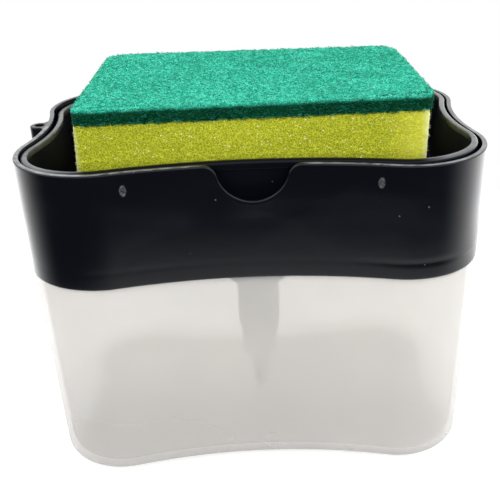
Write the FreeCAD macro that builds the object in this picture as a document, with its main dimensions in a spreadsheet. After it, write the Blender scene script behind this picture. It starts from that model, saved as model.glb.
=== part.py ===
import FreeCAD, Part
import math
import os
import Sketcher
from FreeCAD import Vector

# A soap pump caddy: a clear tank, a dark cover with a pump under its deck, and a dish for a
# sponge that is pushed down to pump. The origin is the middle of the tank's underside, +Z is
# up, -Y is the front with the finger notch, and lengths are in millimetres.

SIZES = {
    # the case seen from above: four round corners joined by hollow sides
    "case_length": 135,
    "case_width": 92.5,
    "case_height": 100,
    "corner_radius": 23.3,
    "long_side_hollow": 5.3,
    "short_side_hollow": 2.8,
    # tank
    "tank_wall": 1.6,
    "tank_floor": 2,
    "tank_foot_inset": 3.1,
    "tank_top_inset": 1,
    "tank_foot_radius": 7,
    "tank_shoulder_thickness": 1.8,
    "tank_rim_wall": 1.5,
    # cover
    "cover_parting_gap": 0.3,
    "skirt_lap": 4.2,
    "cover_foot_inset": 0.6,
    "cover_wall": 1.6,
    "cover_rim_clearance": 0.3,
    "cover_edge_radius": 0.5,
    "deck_thickness": 1.6,
    "deck_rib_thickness": 1.6,
    "deck_rib_depth": 4,
    "deck_rib_count": 8,
    "well_bore": 34,
    "well_wall": 1.6,
    "well_floor": 1.6,
    "neck_diameter": 17.6,
    "neck_bore": 14.4,
    "neck_length": 12,
    "stem_hole_gap": 0.5,
    "notch_depth": 10.5,
    "notch_radius": 10,
    "notch_shoulder_radius": 4,
    "mark_setback": 9.8,
    "mark_drop": 5,
    "mark_width": 1.5,
    "mark_length": 2.6,
    "mark_depth": 0.4,
    "lug_diameter": 5.7,
    "lug_bore": 3.2,
    "lug_height": 12,
    "lug_standoff": 2.3,
    # sponge tray
    "tray_gap": 0.4,
    "tray_rim_drop": 0.5,
    "tray_rim_width": 2.4,
    "tray_rim_thickness": 2.1,
    "tray_rim_radius": 0.8,
    "tray_wall": 1.5,
    "tray_draft_inset": 2,
    "tray_depth": 16,
    "tray_floor": 1.8,
    "tray_foot_radius": 3,
    "tray_inner_radius": 1.2,
    "tray_rib_height": 1.5,
    "tray_rib_width": 2,
    "tray_rib_end_room": 10,
    "tray_rib_start_gap": 8,
    "tray_rib_step": 12,
    "tray_rib_count": 3,
    "hub_wall": 2,
    "hub_length": 7.7,
    "hub_clearance": 0.05,
    "gusset_end_gap": 5,
    "gusset_depth": 4,
    "gusset_thickness": 1.4,
    "gusset_count": 4,
    # pump
    "pump_stroke": 9,
    "deck_gap": 0.9,
    "hub_end_gap": 0.5,
    "closure_wall": 1.3,
    "closure_clearance": 0.2,
    "closure_ledge": 1.6,
    "closure_top_gap": 0.9,
    "closure_flute_diameter": 0.9,
    "closure_flute_count": 30,
    "gasket_thickness": 1,
    "gasket_wall": 1.9,
    "housing_flange_gap": 0.4,
    "housing_flange_thickness": 1.5,
    "housing_upper_diameter": 14.1,
    "housing_lower_diameter": 12.2,
    "housing_wall": 1,
    "barrel_end_gap": 0.7,
    "housing_cone_height": 1,
    "nipple_wall": 1.1,
    "nipple_length": 6.5,
    "housing_floor": 1.4,
    "chamber_depth": 9.8,
    "seat_bore": 2.4,
    "dip_tube_diameter": 4,
    "dip_tube_wall": 0.7,
    "dip_tube_floor_gap": 1,
    "dip_tube_reach": 7,
    "tube_clearance": 0.05,
    "tube_socket_length": 5.5,
    "inlet_ball_diameter": 4,
    "outlet_ball_diameter": 3.2,
    "ball_gap": 0.15,
    "bush_flange_gap": 0.2,
    "bush_wall_gap": 0.1,
    "bush_length": 7.6,
    "bush_plug_length": 3,
    "bush_wall": 1.1,
    "stem_diameter": 7,
    "stem_wall": 1.7,
    "stem_clearance": 0.1,
    "rod_diameter": 5,
    "rod_wall": 1.3,
    "rod_socket_length": 6.7,
    "rod_floor": 1.5,
    "rod_port_diameter": 1.6,
    "piston_head_gap": 0.6,
    "piston_head_thickness": 1.5,
    "seal_length": 4.6,
    "seal_lip": 0.5,
    "seal_waist_diameter": 8.8,
    "seal_waist_length": 1,
    "seal_gap": 0.08,
    "end_gap": 0.3,
    "spring_side_gap": 0.85,
    "spring_wire": 0.8,
    "spring_turns": 7,
    "spring_end_gap": 0.1,
    # how the pump takes up a lower or taller case: the chamber takes the rest
    "neck_spare_share": 0.4,
    "tube_spare_share": 0.3,
    # soap outlet
    "outlet_plate_diameter": 12,
    "outlet_recess": 0.8,
    "outlet_crown": 0.6,
    "outlet_crown_diameter": 6,
    "outlet_bore": 1.6,
    "outlet_ball_side_gap": 0.5,
    "outlet_pocket_depth": 5.7,
    "outlet_spigot_gap": 0.2,
    "outlet_spigot_reach": 0.8,
    # sponge
    "sponge_end_room": 9.3,
    "sponge_side_room": 0.55,
    "sponge_shift": 0.6,
    "foam_height": 25.6,
    "pad_height": 4.4,
    "sponge_corner_radius": 2.5,
    # how far a cutting outline stands past the face that it cuts
    "overrun": 2,
}


class Size:
    """A size of the sheet, or one worked out from such sizes, as its expression and value."""

    def __init__(self, text, value):
        self.text = text
        self.value = value

    def _with(self, sign, other, value):
        return Size(f"({self.text} {sign} {as_size(other).text})", value)

    def __add__(self, other):
        return self._with("+", other, self.value + as_size(other).value)

    def __sub__(self, other):
        return self._with("-", other, self.value - as_size(other).value)

    def __mul__(self, other):
        return self._with("*", other, self.value * as_size(other).value)

    def __truediv__(self, other):
        return self._with("/", other, self.value / as_size(other).value)

    def __neg__(self):
        return self * -1


def as_size(item):
    """A Size as it is, or a plain number as a Size."""
    if isinstance(item, Size):
        return item
    return Size(repr(item), item)


def root(size):
    """The square root of a Size."""
    return Size(f"sqrt({size.text})", math.sqrt(size.value))


def taper(slope):
    """The angle, in degrees, whose tangent is a Size."""
    return Size(f"atan({slope.text})", math.degrees(math.atan(slope.value)))


ZERO = as_size(0)


class Sheet:
    """The spreadsheet of driving sizes: each one is an attribute, and is a Size."""

    def __init__(self, doc):
        sheet = doc.addObject("Spreadsheet::Sheet", "Sizes")
        for row, (name, value) in enumerate(SIZES.items(), start=1):
            sheet.set(f"A{row}", name)
            sheet.set(f"B{row}", str(value))
            sheet.setAlias(f"B{row}", name)
        doc.recompute()
        for name in SIZES:
            setattr(self, name, Size(f"Sizes.{name}", float(sheet.get(name))))


class Places:
    """Heights and radii that several pieces share, worked out from the sheet."""

    def __init__(self, s):
        self.half_length = s.case_length / 2
        self.half_width = s.case_width / 2
        # down from the case's top to the tank's shoulder
        self.tray_rim_top = s.case_height - s.tray_rim_drop
        self.tray_rim_foot = self.tray_rim_top - s.tray_rim_thickness
        self.tray_floor_top = self.tray_rim_top - s.tray_depth
        self.tray_foot = self.tray_floor_top - s.tray_floor
        self.deck_top = self.tray_foot - s.pump_stroke - s.deck_gap
        self.rim_top = self.deck_top - s.deck_thickness
        self.skirt_foot = self.rim_top - s.skirt_lap
        self.shoulder = self.skirt_foot - s.cover_parting_gap
        self.skirt_rise = s.case_height - self.skirt_foot
        # down from the tray's hub to the piston
        self.hub_foot = self.tray_foot - s.hub_length
        self.well_floor_top = self.hub_foot - s.pump_stroke - s.hub_end_gap
        self.neck_top = self.well_floor_top - s.well_floor
        self.tube_foot = s.tank_floor + s.dip_tube_floor_gap
        spare = self.neck_top - self.tube_foot - self.pump_height(s)
        self.neck_foot = self.neck_top - s.neck_length - spare * s.neck_spare_share
        self.flange_top = self.neck_foot - s.gasket_thickness
        self.ledge_top = self.flange_top - s.housing_flange_thickness
        self.closure_foot = self.ledge_top - s.closure_ledge
        self.bush_foot = self.neck_foot - s.bush_length
        self.stem_foot = self.bush_foot
        self.rod_top = self.stem_foot + s.rod_socket_length
        self.seal_top = self.bush_foot - s.end_gap
        self.seal_foot = self.seal_top - s.seal_length
        self.head_foot = self.seal_foot - s.piston_head_thickness
        self.barrel_floor = self.seal_foot - s.pump_stroke - s.barrel_end_gap
        self.housing_step = self.barrel_floor - s.housing_wall
        # up from the tank's floor to the chamber
        self.nipple_foot = self.tube_foot + s.dip_tube_reach + spare * s.tube_spare_share
        self.nipple_top = self.nipple_foot + s.nipple_length
        self.housing_cone_top = self.nipple_top + s.housing_cone_height
        self.chamber_floor = self.housing_cone_top + s.housing_floor
        self.inlet_seat_foot = self.chamber_floor - self.seat_height(s.inlet_ball_diameter, s)
        self.outlet_pocket_foot = self.tray_foot - s.outlet_pocket_depth
        # up from the tray's floor
        self.sponge_foot = self.tray_floor_top + s.tray_rib_height
        self.foam_top = self.sponge_foot + s.foam_height
        # radii that fit each other
        self.well_radius = s.well_bore / 2
        self.neck_radius = s.neck_diameter / 2
        self.closure_bore = self.neck_radius + s.closure_clearance
        self.closure_radius = self.closure_bore + s.closure_wall
        self.flange_radius = self.closure_bore - s.housing_flange_gap
        self.gasket_bore = self.flange_radius - s.gasket_wall
        self.barrel_radius = s.housing_upper_diameter / 2 - s.housing_wall
        self.chamber_radius = s.housing_lower_diameter / 2 - s.housing_wall
        self.seat_radius = s.seat_bore / 2
        self.stem_radius = s.stem_diameter / 2
        self.rod_radius = s.rod_diameter / 2
        self.outlet_pocket = s.outlet_ball_diameter / 2 + s.outlet_ball_side_gap
        self.tube_radius = s.dip_tube_diameter / 2
        # the tray's walls, as insets from the case's outline
        self.tray_rim_outer = s.cover_wall + s.tray_gap
        self.tray_rim_inner = self.tray_rim_outer + s.tray_rim_width
        self.tray_wall_top = self.tray_rim_inner - s.tray_wall
        self.tray_wall_foot = self.tray_wall_top + s.tray_draft_inset
        draft = s.tray_draft_inset / (self.tray_rim_foot - self.tray_foot)
        self.tray_floor_inset = self.tray_wall_foot + s.tray_wall - draft * s.tray_floor
        # the sponge, inside the narrowest part of the dish
        end_room = s.short_side_hollow + self.tray_floor_inset + s.sponge_end_room
        side_room = s.long_side_hollow + self.tray_floor_inset + s.sponge_side_room
        self.sponge_half_length = self.half_length - end_room
        self.sponge_half_width = self.half_width - side_room

    def pump_height(self, s):
        """The lengths from the dip tube's foot to the neck's top, one over the other."""
        suction = s.dip_tube_reach + s.nipple_length + s.housing_cone_height + s.housing_floor
        barrel = s.chamber_depth + s.barrel_end_gap + s.pump_stroke + s.seal_length + s.end_gap
        return suction + barrel + s.bush_length + s.neck_length

    def seat_height(self, ball_diameter, s):
        """How tall the 45 degree seat of a valve ball is: it reaches most of the ball's radius."""
        return ball_diameter / 2 - s.seat_bore / 6

    def ball_centre(self, seat_foot, ball_diameter, s):
        """The height of a ball's centre over the 45 degree seat that it lies in."""
        reach = (ball_diameter / 2 + s.ball_gap) * root(as_size(2))
        return seat_foot + reach - self.seat_radius

    def cover_inset(self, height, s):
        """How far the cover's outer wall stands in from the case's outline at a height."""
        return s.cover_foot_inset * (s.case_height - height) / self.skirt_rise


def bind(item, prop, size):
    """Ties a property to the sheet."""
    item.setExpression(prop, as_size(size).text)


def new_body(doc, label):
    """An empty body, whose label names the piece and its file."""
    body = doc.addObject("PartDesign::Body", label)
    body.Label = label
    return body


def origin_plane(body, role):
    """One of the body's own origin planes."""
    return next(item for item in body.Origin.OriginFeatures if item.Role == role)


class Outline:
    """A sketch on one of a body's origin planes, with every point tied to the sheet."""

    def __init__(self, body, name, role="XY_Plane", level=ZERO):
        self.sketch = body.newObject("Sketcher::SketchObject", name)
        self.sketch.AttachmentSupport = (origin_plane(body, role), [""])
        self.sketch.MapMode = "FlatFace"
        bind(self.sketch, "AttachmentOffset.Base.z", level)

    def _tie(self, kind, *where, size):
        index = self.sketch.addConstraint(Sketcher.Constraint(kind, *where, size.value))
        bind(self.sketch, f"Constraints[{index}]", size)

    def _join(self, first, first_end, second, second_end):
        self.sketch.addConstraint(
            Sketcher.Constraint("Coincident", first, first_end, second, second_end)
        )

    def _fix(self, edge, end, point):
        self._tie("DistanceX", edge, end, size=point[0])
        self._tie("DistanceY", edge, end, size=point[1])

    def circle(self, radius, x=ZERO, y=ZERO):
        """A circle."""
        centre = Vector(x.value, y.value, 0)
        edge = self.sketch.addGeometry(Part.Circle(centre, Vector(0, 0, 1), radius.value))
        self._fix(edge, 3, (x, y))
        self._tie("Radius", edge, size=radius)
        return self

    def path(self, steps):
        """A closed outline from (point, arc) steps: arc is None for a straight edge to the
        next point, or (centre, radius, turn), where turn is 1 for anticlockwise."""
        edges = []
        for index, (start, arc) in enumerate(steps):
            finish = steps[(index + 1) % len(steps)][0]
            edges.append(self._edge(start, finish, arc))
        for index, (edge, first_end, last_end) in enumerate(edges):
            following = edges[(index + 1) % len(edges)]
            self._join(edge, last_end, following[0], following[1])
            self._fix(edge, first_end, steps[index][0])
        for index, (edge, _, _) in enumerate(edges):
            start, arc = steps[index]
            if arc is not None:
                self._fix_middle(edge, start, steps[(index + 1) % len(steps)][0], arc[0])
        return self

    def _fix_middle(self, edge, start, finish, centre):
        """Ties an arc's centre, whose ends are fixed, by the coordinate that moves it most."""
        width = abs(finish[0].value - start[0].value)
        height = abs(finish[1].value - start[1].value)
        if width > height:
            self._tie("DistanceY", edge, 3, size=centre[1])
        else:
            self._tie("DistanceX", edge, 3, size=centre[0])

    def _edge(self, start, finish, arc):
        first = Vector(start[0].value, start[1].value, 0)
        last = Vector(finish[0].value, finish[1].value, 0)
        if arc is None:
            return self.sketch.addGeometry(Part.LineSegment(first, last)), 1, 2
        centre, radius, turn = arc
        middle = Vector(centre[0].value, centre[1].value, 0)
        angles = [math.atan2(p.y - middle.y, p.x - middle.x) for p in (first, last)]
        if turn < 0:
            angles.reverse()
        if angles[1] < angles[0]:
            angles[1] += 2 * math.pi
        whole = Part.Circle(middle, Vector(0, 0, 1), radius.value)
        edge = self.sketch.addGeometry(Part.ArcOfCircle(whole, *angles))
        return (edge, 1, 2) if turn > 0 else (edge, 2, 1)

    def polygon(self, points):
        """A closed outline of straight edges."""
        return self.path([(point, None) for point in points])

    def rectangle(self, low, high):
        """A rectangle from its low corner to its high corner."""
        return self.polygon([low, (high[0], low[1]), high, (low[0], high[1])])

    def waisted(self, s, inset):
        """The case's outline, moved in by an inset: four round corners, and hollow arcs that
        are tangent to them between."""
        centre_x = s.case_length / 2 - s.corner_radius
        centre_y = s.case_width / 2 - s.corner_radius
        radius = s.corner_radius - inset
        long_hollow, short_hollow = s.long_side_hollow, s.short_side_hollow
        # from a corner's centre to the centre of each hollow arc beside it
        long_reach = (centre_x * centre_x + long_hollow * long_hollow) / (long_hollow * 2)
        short_reach = (centre_y * centre_y + short_hollow * short_hollow) / (short_hollow * 2)
        long_rise = long_reach - long_hollow
        short_rise = short_reach - short_hollow
        side_x = centre_x + radius * short_rise / short_reach
        side_y = centre_y - radius * centre_y / short_reach
        end_x = centre_x - radius * centre_x / long_reach
        end_y = centre_y + radius * long_rise / long_reach
        long_arc = (ZERO, centre_y + long_rise), long_reach - radius
        short_arc = (centre_x + short_rise, ZERO), short_reach - radius

        def corner(sign_x, sign_y):
            return (centre_x * sign_x, centre_y * sign_y), radius, 1

        def hollow(arc, sign_x, sign_y):
            (x, y), size = arc
            return (x * sign_x, y * sign_y), size, -1

        return self.path(
            [
                ((side_x, side_y), corner(1, 1)),
                ((end_x, end_y), hollow(long_arc, 1, 1)),
                ((-end_x, end_y), corner(-1, 1)),
                ((-side_x, side_y), hollow(short_arc, -1, 1)),
                ((-side_x, -side_y), corner(-1, -1)),
                ((-end_x, -end_y), hollow(long_arc, 1, -1)),
                ((end_x, -end_y), corner(1, -1)),
                ((side_x, -side_y), hollow(short_arc, 1, 1)),
            ]
        )


def volume(body):
    """The volume of what a body holds so far."""
    body.Document.recompute()
    return body.Shape.Volume


def add(body, kind, name, profile, **settings):
    """Adds a feature to a body and returns it, with its sizes tied to the sheet."""
    feature = body.newObject(f"PartDesign::{kind}", name)
    feature.Profile = profile
    for prop, value in settings.items():
        if isinstance(value, Size):
            bind(feature, prop, value)
        else:
            setattr(feature, prop, value)
    return feature


def cut(body, kind, name, profile, **settings):
    """Adds a cutting feature, and makes sure that it takes something away."""
    before = volume(body)
    feature = add(body, kind, name, profile, **settings)
    if volume(body) >= before:
        raise RuntimeError(f"{body.Label}: {name} cuts nothing")
    return feature


def waisted_block(body, name, s, low, high):
    """A block of the case's outline that widens from one (inset, level) pair to another."""
    sketch, settings = waisted_taper(body, name, s, low, high)
    return add(body, "Pad", name, sketch, **settings)


def waisted_cut(body, name, s, low, high):
    """A hollow of the case's outline that widens from one (inset, level) pair to another."""
    sketch, settings = waisted_taper(body, name, s, low, high)
    return cut(body, "Pocket", name, sketch, Reversed=True, **settings)


def waisted_taper(body, name, s, low, high):
    """The lower outline of a tapered block or hollow, with its height and taper."""
    sketch = Outline(body, f"{name}_outline", level=low[1]).waisted(s, low[0]).sketch
    height = high[1] - low[1]
    return sketch, {"Length": height, "TaperAngle": taper((low[0] - high[0]) / height)}


def turned(body, name, points):
    """A solid of revolution about Z from (radius, height) points."""
    sketch = Outline(body, f"{name}_profile", role="XZ_Plane").polygon(points).sketch
    return add(body, "Revolution", name, sketch, ReferenceAxis=(sketch, ["V_Axis"]), Angle=360)


def ring_points(inner, outer, foot, head):
    """The four points of a plain ring's profile."""
    return [(inner, foot), (outer, foot), (outer, head), (inner, head)]


def soften(body, kind, name, prop, size, choose):
    """Rounds or bevels the edges of a body that choose picks."""
    body.Document.recompute()
    base = body.Tip
    names = [f"Edge{i}" for i, edge in enumerate(base.Shape.Edges, start=1) if choose(edge)]
    if not names:
        raise RuntimeError(f"{body.Label}: no edge for {name}")
    feature = body.newObject(f"PartDesign::{kind}", name)
    feature.Base = (base, names)
    bind(feature, prop, size)
    body.Document.recompute()
    return feature


def lies_at(height, tolerance=1e-4):
    """A test that picks the edges that lie at one height."""

    def choose(edge):
        box = edge.BoundBox
        return abs(box.ZMin - height.value) < tolerance and abs(box.ZMax - height.value) < tolerance

    return choose


def repeated(body, kind, name, features, **settings):
    """A pattern or mirror of some features, which becomes the body's last feature."""
    before = volume(body)
    pattern = body.newObject(f"PartDesign::{kind}", name)
    pattern.Originals = features
    for prop, value in settings.items():
        if isinstance(value, Size):
            bind(pattern, prop, value)
        else:
            setattr(pattern, prop, value)
    body.Tip = pattern
    if math.isclose(volume(body), before):
        raise RuntimeError(f"{body.Label}: {name} changes nothing")
    return pattern


def axis_of(body, role):
    """One of the body's own origin axes, as a reference."""
    return (origin_plane(body, role), [""])


def make_reservoir(doc, s, at):
    """The clear tank: tapered walls, a rounded foot, a shoulder and a rim inside the cover."""
    body = new_body(doc, "reservoir")
    shoulder = at.shoulder
    waisted_block(body, "wall", s, (s.tank_foot_inset, ZERO), (s.tank_top_inset, shoulder))
    slope = (s.tank_foot_inset - s.tank_top_inset) / shoulder
    floor_inset = s.tank_foot_inset + s.tank_wall - slope * s.tank_floor
    top_inset = s.tank_top_inset + s.tank_wall
    waisted_cut(body, "cavity", s, (floor_inset, s.tank_floor), (top_inset, shoulder))
    inner_radius = s.tank_foot_radius - s.tank_wall
    soften(body, "Fillet", "floor_round", "Radius", inner_radius, lies_at(s.tank_floor))
    soften(body, "Fillet", "foot_round", "Radius", s.tank_foot_radius, lies_at(ZERO))
    rim_inset = s.cover_foot_inset + s.cover_wall + s.cover_rim_clearance
    mouth_inset = rim_inset + s.tank_rim_wall
    middle_inset = s.tank_top_inset + s.tank_wall / 2
    ledge = Outline(body, "ledge_outline", level=shoulder - s.tank_shoulder_thickness)
    ledge.waisted(s, middle_inset).waisted(s, mouth_inset)
    add(body, "Pad", "ledge", ledge.sketch, Length=s.tank_shoulder_thickness)
    rim = Outline(body, "rim_outline", level=shoulder)
    rim.waisted(s, rim_inset).waisted(s, mouth_inset)
    add(body, "Pad", "rim", rim.sketch, Length=at.rim_top - shoulder)


def make_cover(doc, s, at):
    """The dark cover: skirt, deck, pump well and neck, finger notch, marks and lug."""
    body = new_body(doc, "cover")
    top = s.case_height
    waisted_block(body, "skirt", s, (s.cover_foot_inset, at.skirt_foot), (ZERO, top))
    soften(body, "Fillet", "top_edge", "Radius", s.cover_edge_radius, lies_at(top))
    low_inset = s.cover_foot_inset + s.cover_wall
    deck_under = at.cover_inset(at.rim_top, s) + s.cover_wall
    deck_over = at.cover_inset(at.deck_top, s) + s.cover_wall
    waisted_cut(body, "under", s, (low_inset, at.skirt_foot), (deck_under, at.rim_top))
    waisted_cut(body, "bowl", s, (deck_over, at.deck_top), (s.cover_wall, top))
    make_well(body, s, at)
    make_deck_ribs(body, s, at)
    make_lug(body, s, at)
    make_notch(body, s, at)
    make_marks(body, s, at)


def make_well(body, s, at):
    """The round well in the deck that the tray's hub moves in, and the pump neck below it."""
    well = Outline(body, "well_outline", level=at.neck_top).circle(at.well_radius + s.well_wall)
    add(body, "Pad", "well", well.sketch, Length=at.deck_top - at.neck_top)
    bore = Outline(body, "well_bore_outline", level=at.well_floor_top).circle(at.well_radius)
    well_depth = at.deck_top - at.well_floor_top + s.overrun
    cut(body, "Pocket", "well_cut", bore.sketch, Length=well_depth, Reversed=True)
    neck = Outline(body, "neck_outline", level=at.neck_foot).circle(at.neck_radius)
    neck_length = at.neck_top - at.neck_foot
    add(body, "Pad", "neck", neck.sketch, Length=neck_length)
    neck_bore = Outline(body, "neck_bore_outline", level=at.neck_foot).circle(s.neck_bore / 2)
    cut(body, "Pocket", "neck_cut", neck_bore.sketch, Length=neck_length, Reversed=True)
    hole = Outline(body, "stem_hole_outline", level=at.neck_top)
    hole.circle(at.stem_radius + s.stem_hole_gap)
    hole_depth = s.well_floor + s.overrun
    cut(body, "Pocket", "stem_hole", hole.sketch, Length=hole_depth, Reversed=True)


def make_deck_ribs(body, s, at):
    """Ribs under the deck that run out from the well, clear of the tank's rim."""
    rib_foot = at.rim_top - s.deck_rib_depth
    rim_inset = s.cover_foot_inset + s.cover_wall + s.cover_rim_clearance
    reach = at.half_width - s.long_side_hollow - rim_inset - s.tank_rim_wall
    half = s.deck_rib_thickness / 2
    rib = Outline(body, "deck_rib_outline", level=rib_foot)
    start = at.well_radius + s.well_wall / 2
    rib.rectangle((start, -half), (reach - s.cover_rim_clearance * 2, half))
    pad = add(body, "Pad", "deck_rib", rib.sketch, Length=s.deck_rib_depth)
    repeated(
        body,
        "PolarPattern",
        "deck_ribs",
        [pad],
        Axis=axis_of(body, "Z_Axis"),
        Angle=360,
        Occurrences=s.deck_rib_count,
    )


def make_lug(body, s, at):
    """The small tube in the middle of the left end, flush with the cover's top."""
    centre = -(at.half_length - s.short_side_hollow + s.lug_standoff)
    foot = s.case_height - s.lug_height
    lug = Outline(body, "lug_outline", level=foot).circle(s.lug_diameter / 2, x=centre)
    add(body, "Pad", "lug", lug.sketch, Length=s.lug_height)
    bore = Outline(body, "lug_bore_outline", level=foot).circle(s.lug_bore / 2, x=centre)
    cut(body, "Pocket", "lug_cut", bore.sketch, Length=s.lug_height + s.overrun, Reversed=True)


def make_notch(body, s, at):
    """The finger notch in the front wall: a round bottom that flares out to the rim."""
    top = s.case_height
    over = top + s.overrun
    centre = top - s.notch_depth + s.notch_radius
    shoulder = s.notch_shoulder_radius
    drop = centre - top + shoulder
    span = s.notch_radius + shoulder
    shoulder_x = root(span * span - drop * drop)
    joint_x = shoulder_x * s.notch_radius / span
    joint_y = centre - drop * s.notch_radius / span
    outline = Outline(body, "notch_outline", role="XZ_Plane")
    outline.path(
        [
            ((shoulder_x, top), None),
            ((shoulder_x, over), None),
            ((-shoulder_x, over), None),
            ((-shoulder_x, top), ((-shoulder_x, top - shoulder), shoulder, -1)),
            ((-joint_x, joint_y), ((ZERO, centre), s.notch_radius, 1)),
            ((joint_x, joint_y), ((shoulder_x, top - shoulder), shoulder, -1)),
        ]
    )
    cut(body, "Pocket", "notch", outline.sketch, Length=at.half_width, Reversed=True)


def make_marks(body, s, at):
    """Two shallow oval marks in the front wall, left and right of the notch."""
    height = s.case_height - s.mark_drop
    half_width = s.mark_width / 2
    straight = (s.mark_length - s.mark_width) / 2
    centre_x = at.half_length - s.corner_radius
    hollow = s.long_side_hollow
    reach = (centre_x * centre_x + hollow * hollow) / (hollow * 2)
    arc_radius = reach - s.corner_radius + at.cover_inset(height, s)
    arc_centre = at.half_width - s.corner_radius + reach - hollow
    middle = centre_x - s.mark_setback
    face = arc_centre - root(arc_radius * arc_radius - middle * middle)
    outline = Outline(body, "mark_outline", role="XZ_Plane", level=face - s.mark_depth)
    low, high = height - straight, height + straight
    outline.path(
        [
            ((middle + half_width, low), None),
            ((middle + half_width, high), ((middle, high), half_width, 1)),
            ((middle - half_width, high), None),
            ((middle - half_width, low), ((middle, low), half_width, 1)),
        ]
    )
    mark = cut(body, "Pocket", "mark", outline.sketch, Length=s.overrun, Reversed=True)
    mirror_plane = (origin_plane(body, "YZ_Plane"), [""])
    repeated(body, "Mirrored", "marks", [mark], MirrorPlane=mirror_plane)


def make_closure(doc, s, at):
    """The screw ring that holds the pump housing up against the cover's neck."""
    body = new_body(doc, "pump_closure")
    outer = at.closure_radius
    inner = at.closure_bore
    hole = s.housing_upper_diameter / 2 + s.closure_clearance
    head = at.neck_top - s.closure_top_gap
    points = [(hole, at.closure_foot), (outer, at.closure_foot), (outer, head)]
    points += [(inner, head), (inner, at.ledge_top), (hole, at.ledge_top)]
    turned(body, "ring", points)
    flute = Outline(body, "flute_outline", level=at.closure_foot)
    flute.circle(s.closure_flute_diameter / 2, x=outer)
    length = head - at.closure_foot
    first = cut(body, "Pocket", "flute", flute.sketch, Length=length, Reversed=True)
    repeated(
        body,
        "PolarPattern",
        "flutes",
        [first],
        Axis=axis_of(body, "Z_Axis"),
        Angle=360,
        Occurrences=s.closure_flute_count,
    )


def make_gasket(doc, s, at):
    """The flat ring between the housing's flange and the neck."""
    body = new_body(doc, "pump_gasket")
    points = ring_points(at.gasket_bore, at.flange_radius, at.flange_top, at.neck_foot)
    turned(body, "ring", points)


def make_housing(doc, s, at):
    """The pump cylinder: flange, wide barrel, narrow chamber, ball seat and tube nipple."""
    body = new_body(doc, "pump_housing")
    flange = at.flange_radius
    upper = s.housing_upper_diameter / 2
    lower = s.housing_lower_diameter / 2
    socket = at.tube_radius + s.tube_clearance
    nipple = socket + s.nipple_wall
    socket_top = at.nipple_foot + s.tube_socket_length
    seat_head = at.seat_radius + at.chamber_floor - at.inlet_seat_foot
    outside = [
        (flange, at.flange_top),
        (flange, at.ledge_top),
        (upper, at.ledge_top),
        (upper, at.housing_step),
        (lower, at.housing_step),
        (lower, at.housing_cone_top),
        (nipple, at.nipple_top),
        (nipple, at.nipple_foot),
    ]
    inside = [
        (socket, at.nipple_foot),
        (socket, socket_top),
        (at.seat_radius, socket_top),
        (at.seat_radius, at.inlet_seat_foot),
        (seat_head, at.chamber_floor),
        (at.chamber_radius, at.chamber_floor),
        (at.chamber_radius, at.barrel_floor),
        (at.barrel_radius, at.barrel_floor),
        (at.barrel_radius, at.flange_top),
    ]
    turned(body, "cylinder", outside + inside)


def make_dip_tube(doc, s, at):
    """The tube that reaches from the housing's nipple nearly to the tank's floor."""
    body = new_body(doc, "dip_tube")
    outer = at.tube_radius
    head = at.nipple_foot + s.tube_socket_length - s.tube_clearance
    turned(body, "tube", ring_points(outer - s.dip_tube_wall, outer, at.tube_foot, head))


def make_ball(doc, label, diameter, seat_foot, s, at):
    """A valve ball over its seat."""
    body = new_body(doc, label)
    radius = diameter / 2
    middle = at.ball_centre(seat_foot, diameter, s)
    outline = Outline(body, "half_disc", role="XZ_Plane")
    lowest, highest = (ZERO, middle - radius), (ZERO, middle + radius)
    outline.path([(lowest, ((ZERO, middle), radius, 1)), (highest, None)])
    sketch = outline.sketch
    add(body, "Revolution", "ball", sketch, ReferenceAxis=(sketch, ["V_Axis"]), Angle=360)


def make_bush(doc, s, at):
    """The plug in the top of the housing, with a sleeve that guides the stem and stops the
    piston."""
    body = new_body(doc, "guide_bush")
    flange = at.gasket_bore - s.bush_flange_gap
    outer = at.barrel_radius - s.bush_wall_gap
    bore = at.stem_radius + s.stem_clearance
    sleeve = bore + s.bush_wall
    plug_foot = at.neck_foot - s.bush_plug_length
    points = [(bore, at.bush_foot), (sleeve, at.bush_foot), (sleeve, plug_foot)]
    points += [(outer, plug_foot), (outer, at.flange_top), (flange, at.flange_top)]
    points += [(flange, at.neck_foot), (bore, at.neck_foot)]
    turned(body, "bush", points)


def make_spring(doc, s, at):
    """The coil spring between the chamber's floor and the piston's head."""
    body = new_body(doc, "return_spring")
    wire = s.spring_wire / 2
    first = at.chamber_floor + wire + s.spring_end_gap
    last = at.head_foot - wire - s.spring_end_gap
    section = Outline(body, "wire_outline", role="XZ_Plane")
    section.circle(wire, x=at.chamber_radius - s.spring_side_gap - wire, y=first)
    add(
        body,
        "AdditiveHelix",
        "coil",
        section.sketch,
        ReferenceAxis=(section.sketch, ["V_Axis"]),
        Mode="height-turns-angle",
        Height=last - first,
        Turns=s.spring_turns,
        Angle=0,
    )


def make_piston_rod(doc, s, at):
    """The lower stem: a head that the spring lifts, a blind bore and its cross port."""
    body = new_body(doc, "piston_rod")
    head = at.chamber_radius - s.piston_head_gap
    shaft = at.rod_radius
    bore = shaft - s.rod_wall
    floor = at.seal_foot + s.rod_floor
    points = [(ZERO, at.head_foot), (head, at.head_foot), (head, at.seal_foot)]
    points += [(shaft, at.seal_foot), (shaft, at.rod_top), (bore, at.rod_top)]
    points += [(bore, floor), (ZERO, floor)]
    turned(body, "rod", points)
    port = Outline(body, "port_outline", role="XZ_Plane", level=-s.rod_diameter)
    port.circle(s.rod_port_diameter / 2, y=floor + s.rod_port_diameter)
    cut(body, "Pocket", "port", port.sketch, Length=s.rod_diameter * 2, Reversed=True)


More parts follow.
